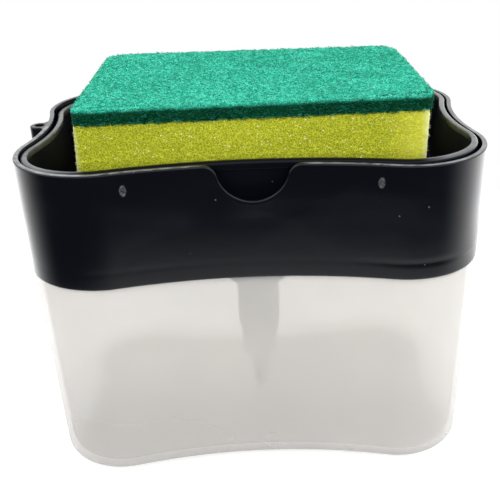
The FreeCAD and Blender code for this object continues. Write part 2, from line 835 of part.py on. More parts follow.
def make_seal(doc, s, at):
    """The soft ring on the rod, with an upper and a lower lip that run in the barrel."""
    body = new_body(doc, "piston_seal")
    bore = at.rod_radius + s.tube_clearance
    lip = at.barrel_radius - s.seal_gap
    waist = s.seal_waist_diameter / 2
    middle = at.seal_foot + s.seal_length / 2
    half_waist = s.seal_waist_length / 2
    points = [(bore, at.seal_foot), (lip, at.seal_foot), (lip, at.seal_foot + s.seal_lip)]
    points += [(waist, middle - half_waist), (waist, middle + half_waist)]
    points += [(lip, at.seal_top - s.seal_lip), (lip, at.seal_top), (bore, at.seal_top)]
    turned(body, "seal", points)


def make_stem(doc, s, at):
    """The hollow stem that carries the tray, with the upper valve's seat near its top."""
    body = new_body(doc, "pump_stem")
    outer = at.stem_radius
    bore = outer - s.stem_wall
    socket = at.rod_radius + s.tube_clearance
    pocket = at.outlet_pocket
    seat_foot = at.outlet_pocket_foot
    seat_head = seat_foot + pocket - at.seat_radius
    neck_foot = seat_foot - s.rod_floor
    points = [(socket, at.stem_foot), (outer, at.stem_foot), (outer, at.tray_foot)]
    points += [(pocket, at.tray_foot), (pocket, seat_head), (at.seat_radius, seat_foot)]
    points += [(at.seat_radius, neck_foot), (bore, neck_foot), (bore, at.rod_top)]
    points += [(socket, at.rod_top)]
    turned(body, "stem", points)


def make_tray(doc, s, at):
    """The dish that holds the sponge: rim bead, tapered wall, ribbed floor and hub."""
    body = new_body(doc, "sponge_tray")
    foot, rim_foot = at.tray_foot, at.tray_rim_foot
    waisted_block(body, "wall", s, (at.tray_wall_foot, foot), (at.tray_wall_top, rim_foot))
    soften(body, "Fillet", "foot_round", "Radius", s.tray_foot_radius, lies_at(foot))
    rim = Outline(body, "rim_outline", level=rim_foot).waisted(s, at.tray_rim_outer).sketch
    add(body, "Pad", "rim", rim, Length=s.tray_rim_thickness)
    soften(body, "Fillet", "rim_outer_edge", "Radius", s.tray_rim_radius, lies_at(at.tray_rim_top))
    floor = at.tray_floor_inset, at.tray_floor_top
    waisted_cut(body, "dish", s, floor, (at.tray_rim_inner, rim_foot))
    mouth = Outline(body, "mouth_outline", level=rim_foot).waisted(s, at.tray_rim_inner).sketch
    mouth_depth = s.tray_rim_thickness + s.overrun
    cut(body, "Pocket", "mouth", mouth, Length=mouth_depth, Reversed=True)
    floor_edges = lies_at(at.tray_floor_top)
    soften(body, "Fillet", "floor_round", "Radius", s.tray_inner_radius, floor_edges)
    make_tray_ribs(body, s, at)
    make_hub(body, s, at)


def make_tray_ribs(body, s, at):
    """Raised ribs on the dish's floor that hold the sponge clear of the water."""
    half = at.sponge_half_width - s.tray_rib_end_room
    first = s.outlet_plate_diameter / 2 + s.tray_rib_start_gap
    ribs = []
    for index in range(int(s.tray_rib_count.value)):
        start = first + s.tray_rib_step * index
        outline = Outline(body, f"rib_outline_{index}", level=at.tray_floor_top)
        outline.rectangle((start, -half), (start + s.tray_rib_width, half))
        ribs.append(add(body, "Pad", f"rib_{index}", outline.sketch, Length=s.tray_rib_height))
    mirror_plane = (origin_plane(body, "YZ_Plane"), [""])
    repeated(body, "Mirrored", "ribs", ribs, MirrorPlane=mirror_plane)


def make_hub(body, s, at):
    """The hub under the dish that takes the stem, its gussets and the outlet's seat."""
    bore_radius = at.stem_radius + s.hub_clearance
    hub = Outline(body, "hub_outline", level=at.hub_foot).circle(bore_radius + s.hub_wall)
    add(body, "Pad", "hub", hub.sketch, Length=s.hub_length)
    half = s.gusset_thickness / 2
    gusset = Outline(body, "gusset_outline", level=at.tray_foot - s.gusset_depth)
    reach = at.well_radius - s.gusset_end_gap
    gusset.rectangle((bore_radius + s.hub_wall / 2, -half), (reach, half))
    first = add(body, "Pad", "gusset", gusset.sketch, Length=s.gusset_depth)
    repeated(
        body,
        "PolarPattern",
        "gussets",
        [first],
        Axis=axis_of(body, "Z_Axis"),
        Angle=360,
        Occurrences=s.gusset_count,
    )
    bore = Outline(body, "hub_bore_outline", level=at.hub_foot).circle(bore_radius)
    cut(body, "Pocket", "hub_bore", bore.sketch, Length=s.hub_length, Reversed=True)
    hole = Outline(body, "outlet_hole_outline", level=at.tray_foot)
    hole.circle(at.outlet_pocket)
    hole_depth = s.tray_floor + s.overrun
    cut(body, "Pocket", "outlet_hole", hole.sketch, Length=hole_depth, Reversed=True)
    recess = Outline(body, "recess_outline", level=at.tray_floor_top - s.outlet_recess)
    recess.circle(s.outlet_plate_diameter / 2 + s.tube_clearance)
    recess_depth = s.outlet_recess + s.overrun
    cut(body, "Pocket", "recess", recess.sketch, Length=recess_depth, Reversed=True)


def make_outlet(doc, s, at):
    """The soap outlet: a plate in the dish's floor with a crown and a spigot into the stem."""
    body = new_body(doc, "soap_outlet")
    plate = s.outlet_plate_diameter / 2
    crown = s.outlet_crown_diameter / 2
    bore = s.outlet_bore / 2
    spigot = at.outlet_pocket - s.outlet_spigot_gap
    foot = at.tray_foot - s.outlet_spigot_reach
    under = at.tray_floor_top - s.outlet_recess
    top = at.tray_floor_top + s.outlet_crown
    points = [(bore, foot), (spigot, foot), (spigot, under), (plate, under)]
    points += [(plate, at.tray_floor_top), (crown, top), (bore, top)]
    turned(body, "outlet", points)


def make_block(doc, label, s, at, foot, height):
    """A soft block of the sponge's length and width with rounded corners."""
    body = new_body(doc, label)
    outline = Outline(body, "outline", level=foot)
    low = (s.sponge_shift - at.sponge_half_length, -at.sponge_half_width)
    high = (s.sponge_shift + at.sponge_half_length, at.sponge_half_width)
    outline.rectangle(low, high)
    add(body, "Pad", "block", outline.sketch, Length=height)

    def upright(edge):
        return edge.BoundBox.ZLength > height.value / 2

    soften(body, "Fillet", "corners", "Radius", s.sponge_corner_radius, upright)


def build():
    """Makes the document and all its pieces."""
    doc = FreeCAD.newDocument("SoapPumpCaddy")
    s = Sheet(doc)
    at = Places(s)
    make_reservoir(doc, s, at)
    make_cover(doc, s, at)
    make_closure(doc, s, at)
    make_gasket(doc, s, at)
    make_housing(doc, s, at)
    make_dip_tube(doc, s, at)
    make_ball(doc, "inlet_ball", s.inlet_ball_diameter, at.inlet_seat_foot, s, at)
    make_bush(doc, s, at)
    make_spring(doc, s, at)
    make_piston_rod(doc, s, at)
    make_seal(doc, s, at)
    make_stem(doc, s, at)
    make_ball(doc, "outlet_ball", s.outlet_ball_diameter, at.outlet_pocket_foot, s, at)
    make_tray(doc, s, at)
    make_outlet(doc, s, at)
    make_block(doc, "sponge_foam", s, at, at.sponge_foot, s.foam_height)
    make_block(doc, "scouring_pad", s, at, at.foam_top, s.pad_height)
    doc.recompute()
    return doc


def export(doc):
    """Checks every object and writes each piece to its own file."""
    os.makedirs("parts", exist_ok=True)
    for item in doc.Objects:
        if "Invalid" in item.State or "Error" in item.State:
            raise RuntimeError(f"{item.Label} failed: {item.State}")
    bodies = [item for item in doc.Objects if item.TypeId == "PartDesign::Body"]
    for body in bodies:
        if body.Shape.isNull() or not body.Shape.isValid():
            raise RuntimeError(f"{body.Label} has no valid shape")
    for body in bodies:
        box = body.Shape.BoundBox
        solids = len(body.Shape.Solids)
        heights = f"z {box.ZMin:.2f} to {box.ZMax:.2f}"
        print(f"{body.Label}: {solids} solid, {body.Shape.Volume / 1000:.2f} cm3, {heights}")
        body.Shape.exportStep(os.path.join("parts", f"{body.Label}.step"))


export(build())
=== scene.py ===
"""Looks of a soap pump caddy, dressed over its packed construction model.

The caddy is a milky tank with a dark cover, a piston pump that hangs in the tank, and a dish on
the pump's stem that holds a sponge. +Z is up and -Y is the front, with the finger notch. Sizes
are in millimetres, and a mesh is written in metres.
"""

import logging
import math
from dataclasses import dataclass, field
from enum import Enum
from typing import Sequence

import bpy
import numpy as np
from mathutils import Matrix, Vector


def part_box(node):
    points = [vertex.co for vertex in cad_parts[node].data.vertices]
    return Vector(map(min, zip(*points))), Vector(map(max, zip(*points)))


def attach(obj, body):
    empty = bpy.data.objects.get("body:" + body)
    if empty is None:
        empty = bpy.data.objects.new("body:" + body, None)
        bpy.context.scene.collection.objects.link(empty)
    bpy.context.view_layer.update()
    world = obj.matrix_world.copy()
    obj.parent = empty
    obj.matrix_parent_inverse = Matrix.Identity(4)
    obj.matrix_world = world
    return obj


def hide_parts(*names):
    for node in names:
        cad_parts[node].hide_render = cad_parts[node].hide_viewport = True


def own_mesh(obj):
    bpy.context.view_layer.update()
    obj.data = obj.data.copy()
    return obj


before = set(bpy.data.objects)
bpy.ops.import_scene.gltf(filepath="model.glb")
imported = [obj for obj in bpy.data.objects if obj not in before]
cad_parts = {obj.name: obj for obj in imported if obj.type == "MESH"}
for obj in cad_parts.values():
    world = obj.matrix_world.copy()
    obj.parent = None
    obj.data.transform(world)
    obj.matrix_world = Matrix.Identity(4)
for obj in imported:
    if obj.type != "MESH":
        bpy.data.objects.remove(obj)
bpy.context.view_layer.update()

LOG = logging.getLogger("caddy")
MM = 0.001

Array = np.ndarray
Material = bpy.types.Material
Socket = bpy.types.NodeSocket
Triple = tuple[float, float, float]
Colour = tuple[float, float, float]
Place = tuple[float, float]
Span = tuple[float, float]
Specks = tuple[float, float, float]  # the cells' size, the share that has one, and its radius
Relief = tuple[float, float]  # the size over which it changes, and its depth


class Body(Enum):
    """What a piece rides on."""

    TANK = "reservoir"
    COVER = "cover"
    PLUNGER = "plunger"
    DISH = "tray"
    SPONGE = "sponge"
    INLET_VALVE = "inlet_valve"
    OUTLET_VALVE = "outlet_valve"


class Slot(Enum):
    """The record's finishes."""

    TANK = "tank_plastic"
    COVER = "cover_plastic"
    DISH = "tray_plastic"
    CLOSURE = "closure_plastic"
    PUMP = "pump_plastic"
    TUBE = "tube_plastic"
    SEAL = "seal_rubber"
    SPRING = "spring_steel"
    BALL = "ball_glass"
    FOAM = "foam"
    SCOURER = "scourer"


# Profiles


@dataclass(frozen=True)
class Corner:
    """A corner of a profile: its place, its rounding, and the longest step to the next one."""

    across: float
    up: float
    radius: float = 0.0
    step: float = math.inf


def block_corners(
    across: Span, up: Span, radii: Sequence[float], step: float = math.inf
) -> list[Corner]:
    """The corners of an upright block's profile, anticlockwise from the low inner one."""
    (inner, outer), (foot, top) = across, up
    places = ((inner, foot), (outer, foot), (outer, top), (inner, top))
    return [Corner(*place, radius, step) for place, radius in zip(places, radii)]


def directions(angles: Array) -> Array:
    """The (cosine, sine) of each angle."""
    return np.column_stack([np.cos(angles), np.sin(angles)])


def even_angles(count: int) -> Array:
    """Even angles once round."""
    return np.linspace(0, 2 * math.pi, count, endpoint=False)


def arc_points(before: Array, corner: Array, after: Array, radius: float) -> Array:
    """The points of the arc that rounds one corner.

    The arc touches both edges at the radius over the tangent of half the angle between them,
    but no further along than just under half of the shorter edge. Its points lie at even
    angles round its centre.

    Args:
        before: The corner before this one.
        corner: This corner.
        after: The corner after this one.
        radius: The arc's radius.

    Returns:
        The points, from the first edge to the second.
    """
    most_turn = math.pi / 14
    edges = np.array([before - corner, after - corner])
    lengths = np.linalg.norm(edges, axis=1)
    edges = edges / lengths[:, None]
    half = math.acos(np.clip(edges[0] @ edges[1], -1, 1)) / 2
    reach = min(radius / math.tan(half), 0.49 * lengths.min())
    radius = reach * math.tan(half)
    middle = edges.sum(axis=0)
    centre = corner + middle / np.linalg.norm(middle) * radius / math.sin(half)
    first, last = corner + edges * reach - centre
    start = math.atan2(first[1], first[0])
    sweep = math.atan2(first[0] * last[1] - first[1] * last[0], first @ last)
    count = max(2, math.ceil(abs(sweep) / most_turn) + 1)
    angles = start + np.linspace(0, sweep, count)
    return centre + radius * directions(angles)


def profile(corners: Sequence[Corner], closed: bool = False) -> Array:
    """A profile's points: its corners rounded, and its long edges divided.

    Args:
        corners: The corners in order.
        closed: Whether the last corner joins the first.

    Returns:
        An array of (across, up) points.
    """
    places = np.array([(c.across, c.up) for c in corners], float)
    arcs = []
    for index, corner in enumerate(corners):
        inner = closed or 0 < index < len(corners) - 1
        if corner.radius > 0 and inner:
            before, after = places[index - 1], places[(index + 1) % len(corners)]
            arcs.append(arc_points(before, places[index], after, corner.radius))
        else:
            arcs.append(places[index : index + 1])
    parts: list[Array] = []
    for index, arc in enumerate(arcs):
        parts.append(arc)
        if index + 1 == len(arcs) and not closed:
            break
        following = arcs[(index + 1) % len(arcs)][0]
        gap = np.linalg.norm(following - arc[-1])
        count = math.ceil(gap / corners[index].step)
        shares = np.arange(1, count)[:, None] / max(count, 1)
        parts.append(arc[-1] + shares * (following - arc[-1]))
    return np.vstack(parts)


# A row of a carried profile is (inset from the outline, radius of the round form, share of the
# round form, height)


def case_rows(points: Array) -> Array:
    """Rows that follow the outline, from (inset, height) points."""
    nothing = np.zeros(len(points))
    return np.column_stack([points[:, 0], nothing, nothing, points[:, 1]])


def round_rows(points: Array) -> Array:
    """Rows that are circles, from (radius, height) points."""
    ones = np.ones(len(points))
    return np.column_stack([0 * ones, points[:, 0], ones, points[:, 1]])


def bridge(first: Array, last: Array, count: int) -> Array:
    """Rows that lead from an outline row to a round one, or back.

    The round form's share and the height go evenly from one to the other, while the inset and
    the radius stay.

    Args:
        first: The row before.
        last: The row after.
        count: How many rows.

    Returns:
        The rows between.
    """
    shares = np.linspace(0, 1, count + 2)[1:-1, None]
    rows = first + shares * (last - first)
    outline, circle = (first, last) if last[2] > first[2] else (last, first)
    rows[:, 0] = outline[0]
    rows[:, 1] = circle[1]
    return rows


def joined_rows(outline: Array, circle: Array, count: int) -> Array:
    """A ring of rows: outline rows, a bridge, round rows, and a bridge back."""
    there, back = bridge(outline[-1], circle[0], count), bridge(circle[-1], outline[0], count)
    return np.vstack([outline, there, circle, back])


def flat_ends(rows: Array, foot: Array, top: Array) -> Array:
    """Puts flat rings inside the first row and the last.

    Args:
        rows: The rows between.
        foot: The round form's share in each ring before the first row.
        top: The same for each ring after the last.

    Returns:
        All the rows.
    """
    under, over = np.repeat(rows[:1], len(foot), axis=0), np.repeat(rows[-1:], len(top), axis=0)
    under[:, 2], over[:, 2] = foot, top
    return np.vstack([under, rows, over])


# Outlines


@dataclass
class Columns:
    """The upright lines of a carried profile, each with its place in the outline.

    A point of the outline with an inset is the arc's centre plus the outward normal times
    (reach - inset). The reach is the arc's radius, less than nothing where the arc is hollow.
    """

    centre: Array
    normal: Array
    reach: Array
    middle: Place = (0.0, 0.0)

    @property
    def tangent(self) -> Array:
        """The direction of each next column, anticlockwise."""
        return np.column_stack([-self.normal[:, 1], self.normal[:, 0]])

    def plan(self, inset: float) -> Array:
        """The outline seen from above, moved in by an inset."""
        return self.centre + self.normal * (self.reach - inset)[:, None]

    def carry(self, rows: Array) -> Array:
        """The surface that a profile sweeps.

        A point is a mix of its place on the outline and the circle's in the same direction
        from the middle, by the row's share of the round form.

        Args:
            rows: The profile's rows.

        Returns:
            Points as rows by columns by 3.
        """
        inset, radius, share, height = (rows[:, i, None] for i in range(4))
        on_case = self.centre + self.normal * (self.reach - inset)[..., None]
        away = on_case - np.array(self.middle)
        distance = np.maximum(np.linalg.norm(away, axis=2, keepdims=True), 1e-9)
        on_circle = np.array(self.middle) + away / distance * radius[..., None]
        plan = on_case + share[..., None] * (on_circle - on_case)
        up = np.broadcast_to(height[..., None], plan.shape[:2] + (1,))
        return np.concatenate([plan, up], axis=2)


def circle_columns(count: int) -> Columns:
    """Columns round a circle, for rows that are all round."""
    normal = directions(even_angles(count))
    return Columns(np.zeros((count, 2)), normal, np.ones(count))


def arc_columns(arcs: Sequence[tuple[Place, float, Array]]) -> Columns:
    """Columns along joined arcs.

    Args:
        arcs: For each arc its centre, its reach and the angles of its normals.

    Returns:
        The columns, in the arcs' order.
    """
    centres = [np.tile(centre, (len(angles), 1)) for centre, _, angles in arcs]
    reaches = [np.full(len(angles), reach) for _, reach, angles in arcs]
    normal = directions(np.concatenate([angles for _, _, angles in arcs]))
    return Columns(np.vstack(centres), normal, np.concatenate(reaches))


def block_columns(low: Place, high: Place, radii: Sequence[float], step: float) -> Columns:
    """Columns round a rectangle with round corners.

    Args:
        low: The rectangle's low corner.
        high: The rectangle's high corner.
        radii: The corners' radii, anticlockwise from the low corner.
        step: The longest step between columns.

    Returns:
        The columns, anticlockwise from the low corner.
    """
    turns = [(1, 1), (-1, 1), (-1, -1), (1, -1)]
    corners = [(low[0], low[1]), (high[0], low[1]), (high[0], high[1]), (low[0], high[1])]
    starts = [np.array(c) + r * np.array(t) for c, r, t in zip(corners, radii, turns)]
    centres, angles, reaches = [], [], []
    for side, (start, radius) in enumerate(zip(starts, radii)):
        quarter = max(3, math.ceil(radius * math.pi / 2 / step) + 1)
        turn = math.pi * (side / 2 - 1) + np.linspace(0, math.pi / 2, quarter)
        out = np.array([math.cos(turn[-1]), math.sin(turn[-1])])
        last = start + radius * out
        gap = starts[(side + 1) % 4] + radii[(side + 1) % 4] * out - last
        count = math.ceil(np.linalg.norm(gap) / step)
        places = last + np.linspace(0, 1, count + 1)[1:-1, None] * gap
        centres += [np.tile(start, (quarter, 1)), places - radius * out]
        angles += [turn, np.full(count - 1, turn[-1])]
        reaches.append(np.full(quarter + count - 1, radius))
    normal = directions(np.concatenate(angles))
    middle = ((low[0] + high[0]) / 2, (low[1] + high[1]) / 2)
    return Columns(np.vstack(centres), normal, np.concatenate(reaches), middle)


@dataclass(frozen=True)
class CaseOutline:
    """The case seen from above: four round corners joined by hollow sides that touch them."""

    length: float
    width: float
    corner_radius: float = 23.3
    long_hollow: float = 5.3
    short_hollow: float = 2.8
    corner_columns: int = 30
    back_columns: int = 44
    end_columns: int = 18

    @property
    def corner(self) -> Place:
        """The centre of the round corner at high x and high y."""
        return self.length / 2 - self.corner_radius, self.width / 2 - self.corner_radius

    @staticmethod
    def hollow_reach(chord: float, depth: float) -> float:
        """From a corner's centre to the hollow arc's: (chord^2 + depth^2) / (2 depth)."""
        return (chord * chord + depth * depth) / (2 * depth)

    @property
    def front_arc(self) -> Span:
        """The y of the front hollow's centre, and its reach."""
        reach = self.hollow_reach(self.corner[0], self.long_hollow)
        return -(self.corner[1] + reach - self.long_hollow), self.corner_radius - reach

    @property
    def front_end(self) -> float:
        """The x where the front hollow meets the round corner."""
        reach = self.hollow_reach(self.corner[0], self.long_hollow)
        return self.corner[0] * (1 - self.corner_radius / reach)

    def columns(self, front: Array | None = None) -> Columns:
        """Columns round the case, anticlockwise from the front's middle.

        Args:
            front: The x of those on the right half of the front, if they aren't even.

        Returns:
            The columns.
        """
        x, y = self.corner
        centre_y, long_reach = self.front_arc
        end_reach = self.hollow_reach(y, self.short_hollow)
        centre_x = x + end_reach - self.short_hollow
        short_reach = self.corner_radius - end_reach
        long_turn = math.asin(x / (self.corner_radius - long_reach))
        short_turn = math.asin(y / end_reach)
        if front is None:
            front = np.linspace(0, self.front_end, self.back_columns // 2)
        lean = np.arcsin(front / -long_reach)
        right, half = math.pi / 2, math.pi
        radius, turn, end = self.corner_radius, self.corner_columns, self.end_columns
        swept = [
            ((x, -y), radius, -right - long_turn, short_turn, turn),
            ((centre_x, 0.0), short_reach, short_turn, -short_turn, end),
            ((x, y), radius, -short_turn, right + long_turn, turn),
            ((0.0, -centre_y), long_reach, right + long_turn, right - long_turn, self.back_columns),
            ((-x, y), radius, right - long_turn, half + short_turn, turn),
            ((-centre_x, 0.0), short_reach, half + short_turn, half - short_turn, end),
            ((-x, -y), radius, half - short_turn, half + right + long_turn, turn),
        ]
        arcs = [
            (centre, reach, np.linspace(first, last, count, endpoint=False))
            for centre, reach, first, last, count in swept
        ]
        front_right = ((0.0, centre_y), long_reach, -right - lean[:-1])
        front_left = ((0.0, centre_y), long_reach, -right + lean[:0:-1])
        return arc_columns([front_right, *arcs, front_left])


# Noise


def lattice_noise(cells: Array, seed: int) -> Array:
    """A random number from 0 to 1 for each whole-numbered cell.

    The sum of the coordinates times large odd numbers is folded by shifts and exclusive ors,
    and divided by the largest whole number.

    Args:
        cells: Whole-numbered points, with 3 as the last axis.
        seed: Which numbers to give.

    Returns:
        One number per point.
    """
    large = np.array([374761393, 668265263, 1442695041], np.uint32)
    whole = cells.astype(np.int64).astype(np.uint32)
    mixed = (whole * large).sum(axis=-1, dtype=np.uint32) + np.uint32(seed * 97 + 13)
    mixed = (mixed ^ (mixed >> np.uint32(13))) * np.uint32(1274126177)
    mixed = (mixed ^ (mixed >> np.uint32(16))) * np.uint32(2246822519)
    mixed = mixed ^ (mixed >> np.uint32(13))
    return mixed / np.float64(2**32 - 1)


def smooth_noise(points: Array, size: float, seed: int) -> Array:
    """Noise from -1 to 1 that changes smoothly over a size.

    The random numbers of the eight lattice corners round a point are mixed by 3t^2 - 2t^3 of
    its place between them.

    Args:
        points: Points, with 3 as the last axis.
        size: The lattice's size.
        seed: Which noise to give.

    Returns:
        One number per point.
    """
    scaled = points / size
    base = np.floor(scaled)
    part = scaled - base
    part = part * part * (3 - 2 * part)
    total = np.zeros(points.shape[:-1])
    for corner in np.ndindex(2, 2, 2):
        weight = np.where(corner, part, 1 - part).prod(axis=-1)
        total += weight * lattice_noise(base + corner, seed)
    return 2 * total - 1


def cell_edges(points: Array, size: float, seed: int) -> Array:
    """How far each point is from the wall of its bubble, in cell sizes.

    Each lattice cell holds one random centre. The result is the distance to the second
    nearest centre less the distance to the nearest.

    Args:
        points: Points, with 3 as the last axis.
        size: The bubbles' size.
        seed: Which bubbles to give.

    Returns:
        One number per point, nothing on a wall.
    """
    scaled = points / size
    base = np.floor(scaled)
    nearest = np.full(points.shape[:-1], 9.0)
    second = nearest.copy()
    for offset in np.ndindex(3, 3, 3):
        cell = base + np.array(offset) - 1
        random = np.stack([lattice_noise(cell, seed + axis) for axis in range(3)], axis=-1)
        distance = np.linalg.norm(cell + random - scaled, axis=-1)
        second = np.minimum(second, np.maximum(nearest, distance))
        nearest = np.minimum(nearest, distance)
    return second - nearest


@dataclass(frozen=True)
class Waves:
    """Unevenness over a size, up to a depth each way, with the seed of its noise."""

    size: float
    depth: float
    seed: int

    def at(self, points: Array) -> Array:
        """The depth at each point."""
        return self.depth * smooth_noise(points, self.size, self.seed)


def smooth_step(value: Array, low: float, high: float) -> Array:
    """From 0 at low to 1 at high, as 3t^2 - 2t^3."""
    part = np.clip((value - low) / (high - low), 0, 1)
    return part * part * (3 - 2 * part)


# Meshes


def grid_normals(points: Array) -> Array:
    """The outward direction at each point of a grid whose columns go round.

    It is the cross product of the step to the next column and the step to the next row.

    Args:
        points: Points as rows by columns by 3.

    Returns:
        Directions of length 1, in the same order.
    """
    along = np.roll(points, -1, axis=1) - np.roll(points, 1, axis=1)
    across = np.gradient(points, axis=0)
    normal = np.cross(along, across)
    return normal / np.maximum(np.linalg.norm(normal, axis=2, keepdims=True), 1e-12)


@dataclass
class Shells:
    """Closed surfaces that together make one piece."""

    points: list[Array] = field(default_factory=list)
    faces: list[list[int]] = field(default_factory=list)
    tones: list[Array] = field(default_factory=list)

    def _start(self, points: Array, tone: Array | None) -> int:
        """Takes in points.

        Args:
            points: Points, with 3 as the last axis.
            tone: Their numbers, if they have any.

        Returns:
            The first point's index.
        """
        flat = points.reshape(-1, 3)
        first = sum(len(part) for part in self.points)
        self.points.append(flat)
        self.tones.append(np.zeros(len(flat)) if tone is None else tone.reshape(-1))
        return first

    def add(
        self, grid: Array, ring: bool = False, capped: bool = False, tone: Array | None = None
    ) -> "Shells":
        """Adds a surface whose columns go round, or many alike ones.

        Args:
            grid: Points as rows by columns by 3, after a count where there are many.
            ring: Whether the last row joins the first.
            capped: Whether a fan closes the first row and another the last.
            tone: A number for each point, which the finish may read.

        Returns:
            The shells.
        """
        rows, columns = grid.shape[-3:-1]
        first = self._start(grid, tone)
        starts = first + np.arange(grid[..., 0].size // (rows * columns)) * rows * columns
        row = np.arange(rows if ring else rows - 1)[:, None]
        column = np.arange(columns)[None, :]
        after = (column + 1) % columns
        low, high = row * columns, (row + 1) % rows * columns
        around = (low + column, low + after, high + after, high + column)
        quads = np.stack(np.broadcast_arrays(*around), axis=-1).reshape(-1, 4)
        self.faces += (quads + starts[:, None, None]).reshape(-1, 4).tolist()
        if capped:
            self._cap(grid[..., 0, :, :], starts, tone, inward=True)
            self._cap(grid[..., -1, :, :], starts + (rows - 1) * columns, tone, inward=False)
        return self

    def _cap(self, edge: Array, starts: Array, tone: Array | None, inward: bool) -> None:
        """Closes an edge of each surface by a fan to the mean of its points.

        Args:
            edge: The edges' points, with columns by 3 as the last axes.
            starts: The index of each edge's first point.
            tone: The surfaces' numbers, if they have any.
            inward: Whether the edge is the first row.
        """
        count = edge.shape[-2]
        ends = edge.reshape(-1, count, 3).mean(axis=1)
        end_tone = None if tone is None else tone.reshape(len(starts), -1)[:, 0 if inward else -1]
        poles = self._start(ends, end_tone) + np.arange(len(ends))
        column = np.arange(count)
        after = (column + 1) % count
        order = (after, column) if inward else (column, after)
        fan = [starts[:, None] + part for part in order] + [poles[:, None] + 0 * column]
        self.faces += np.stack(fan, axis=-1).reshape(-1, 3).tolist()

    def piece(
        self,
        name: str,
        body: Body,
        slot: Slot,
        material: Material,
        nodes: Sequence[str] = (),
        sharp: float = 40.0,
    ) -> bpy.types.Object:
        """Makes the mesh and its object, and parents it to its body's empty.

        Args:
            name: The piece's name.
            body: What it rides on.
            slot: The record's finish; not used.
            material: The finish as a material.
            nodes: The construction model's nodes that it stands for.
            sharp: The angle in degrees past which an edge isn't smoothed.

        Returns:
            The object.
        """
        mesh = bpy.data.meshes.new(name)
        mesh.from_pydata((np.vstack(self.points) * MM).tolist(), [], self.faces)
        tone = mesh.attributes.new("tone", "FLOAT", "POINT")
        tone.data.foreach_set("value", np.concatenate(self.tones).astype(np.float32))
        mesh.polygons.foreach_set("use_smooth", np.ones(len(mesh.polygons), bool))
        mesh.set_sharp_from_angle(angle=math.radians(sharp))
        mesh.materials.append(material)
        mesh.update()
        item = bpy.data.objects.new(name, mesh)
        bpy.context.scene.collection.objects.link(item)
        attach(item, body.value)
        if nodes:
            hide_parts(*nodes)
        LOG.info("%s: %d faces on %s", name, len(mesh.polygons), body.value)
        return item


def bar(low: Place, high: Place, foot: float, top: float, edge: float) -> Array:
    """An upright block with rounded upright edges and a rounded top.

    Args:
        low: Its low corner seen from above.
        high: Its high corner seen from above.
        foot: The height of its foot.
        top: The height of its top.
        edge: The radius of its edges.

    Returns:
        A grid of points.
    """
    columns = block_columns(low, high, [edge * 1.01] * 4, edge / 2)
    rows = case_rows(profile([Corner(0, foot), Corner(0, top, edge), Corner(edge, top)]))
    return columns.carry(rows)


def hanging_bar(low: Place, high: Place, foot: float, top: float, edge: float) -> Array:
    """The same block upside down, with the rounded end at its foot."""
    return (bar(low, high, -top, -foot, edge) * np.array([1, 1, -1]))[::-1]


def turned(points: Array, grooves: Array | None = None, count: int = 96) -> Array:
    """A profile turned about the upright axis.

    Args:
        points: The profile as (radius, height) points.
        grooves: What each point's radius is multiplied by, as rows by columns.
        count: How many columns go round.

    Returns:
        A grid of points.
    """
    grid = circle_columns(count).carry(round_rows(points))
    if grooves is not None:
        grid[..., :2] *= grooves[..., None]
    return grid


def turned_ring(corners: Sequence[Corner]) -> Shells:
    """One ring turned from a closed profile."""
    return Shells().add(turned(profile(corners, closed=True)), ring=True)


def rings(angles: Array, first: Array, second: Array) -> Array:
    """Directions round a path: the cosine times the first plus the sine times the second.

    Args:
        angles: The angles of a ring's points.
        first: A direction across each place of the path.
        second: Another, at right angles to it.

    Returns:
        Directions as places by angles by 3.
    """
    around = directions(angles)[None, :, :, None]
    return around[:, :, 0] * first[:, None] + around[:, :, 1] * second[:, None]


# Finishes


class NodeBoard:
    """A tree of nodes, with short calls that add them and join them."""

    def __init__(self, tree: bpy.types.NodeTree) -> None:
        """Empties the tree."""
        self.tree = tree
        tree.nodes.clear()

    def put(self, socket: Socket, value: object) -> None:
        """Fills an input.

        Args:
            socket: The input.
            value: A socket to join, a number, a colour or a vector.
        """
        if isinstance(value, Socket):
            self.tree.links.new(value, socket)
        else:
            socket.default_value = (*value, 1.0) if socket.type == "RGBA" else value

    def add(self, kind: str, **inputs: object) -> bpy.types.Node:
        """Adds a node.

        Args:
            kind: The shader node's kind.
            inputs: What each input takes, by its name with underscores for spaces.

        Returns:
            The node.
        """
        node = self.tree.nodes.new(f"ShaderNode{kind}")
        for name, value in inputs.items():
            self.put(node.inputs[name.replace("_", " ")], value)
        return node

    def between(
        self, value: Socket, source: Span, target: tuple[object, object] = (0.0, 1.0)
    ) -> Socket:
        """Carries a value smoothly from one range to another, and no further.

        Args:
            value: The value.
            source: Where it comes from.
            target: Where it goes to, as numbers or sockets.

        Returns:
            The carried value.
        """
        node = self.add("MapRange", Value=value, From_Min=source[0], From_Max=source[1])
        node.interpolation_type = "SMOOTHSTEP"
        for name, end in zip(("To Min", "To Max"), target):
            self.put(node.inputs[name], end)
        return node.outputs["Result"]

    def sum(self, kind: str, *values: object) -> Socket:
        """Puts numbers together.

        Args:
            kind: The operation of a Math node.
            values: The numbers, or their sockets.

        Returns:
            The result.
        """
        node = self.add("Math")
        node.operation = kind
        for socket, value in zip(node.inputs, values):
            self.put(socket, value)
        return node.outputs["Value"]


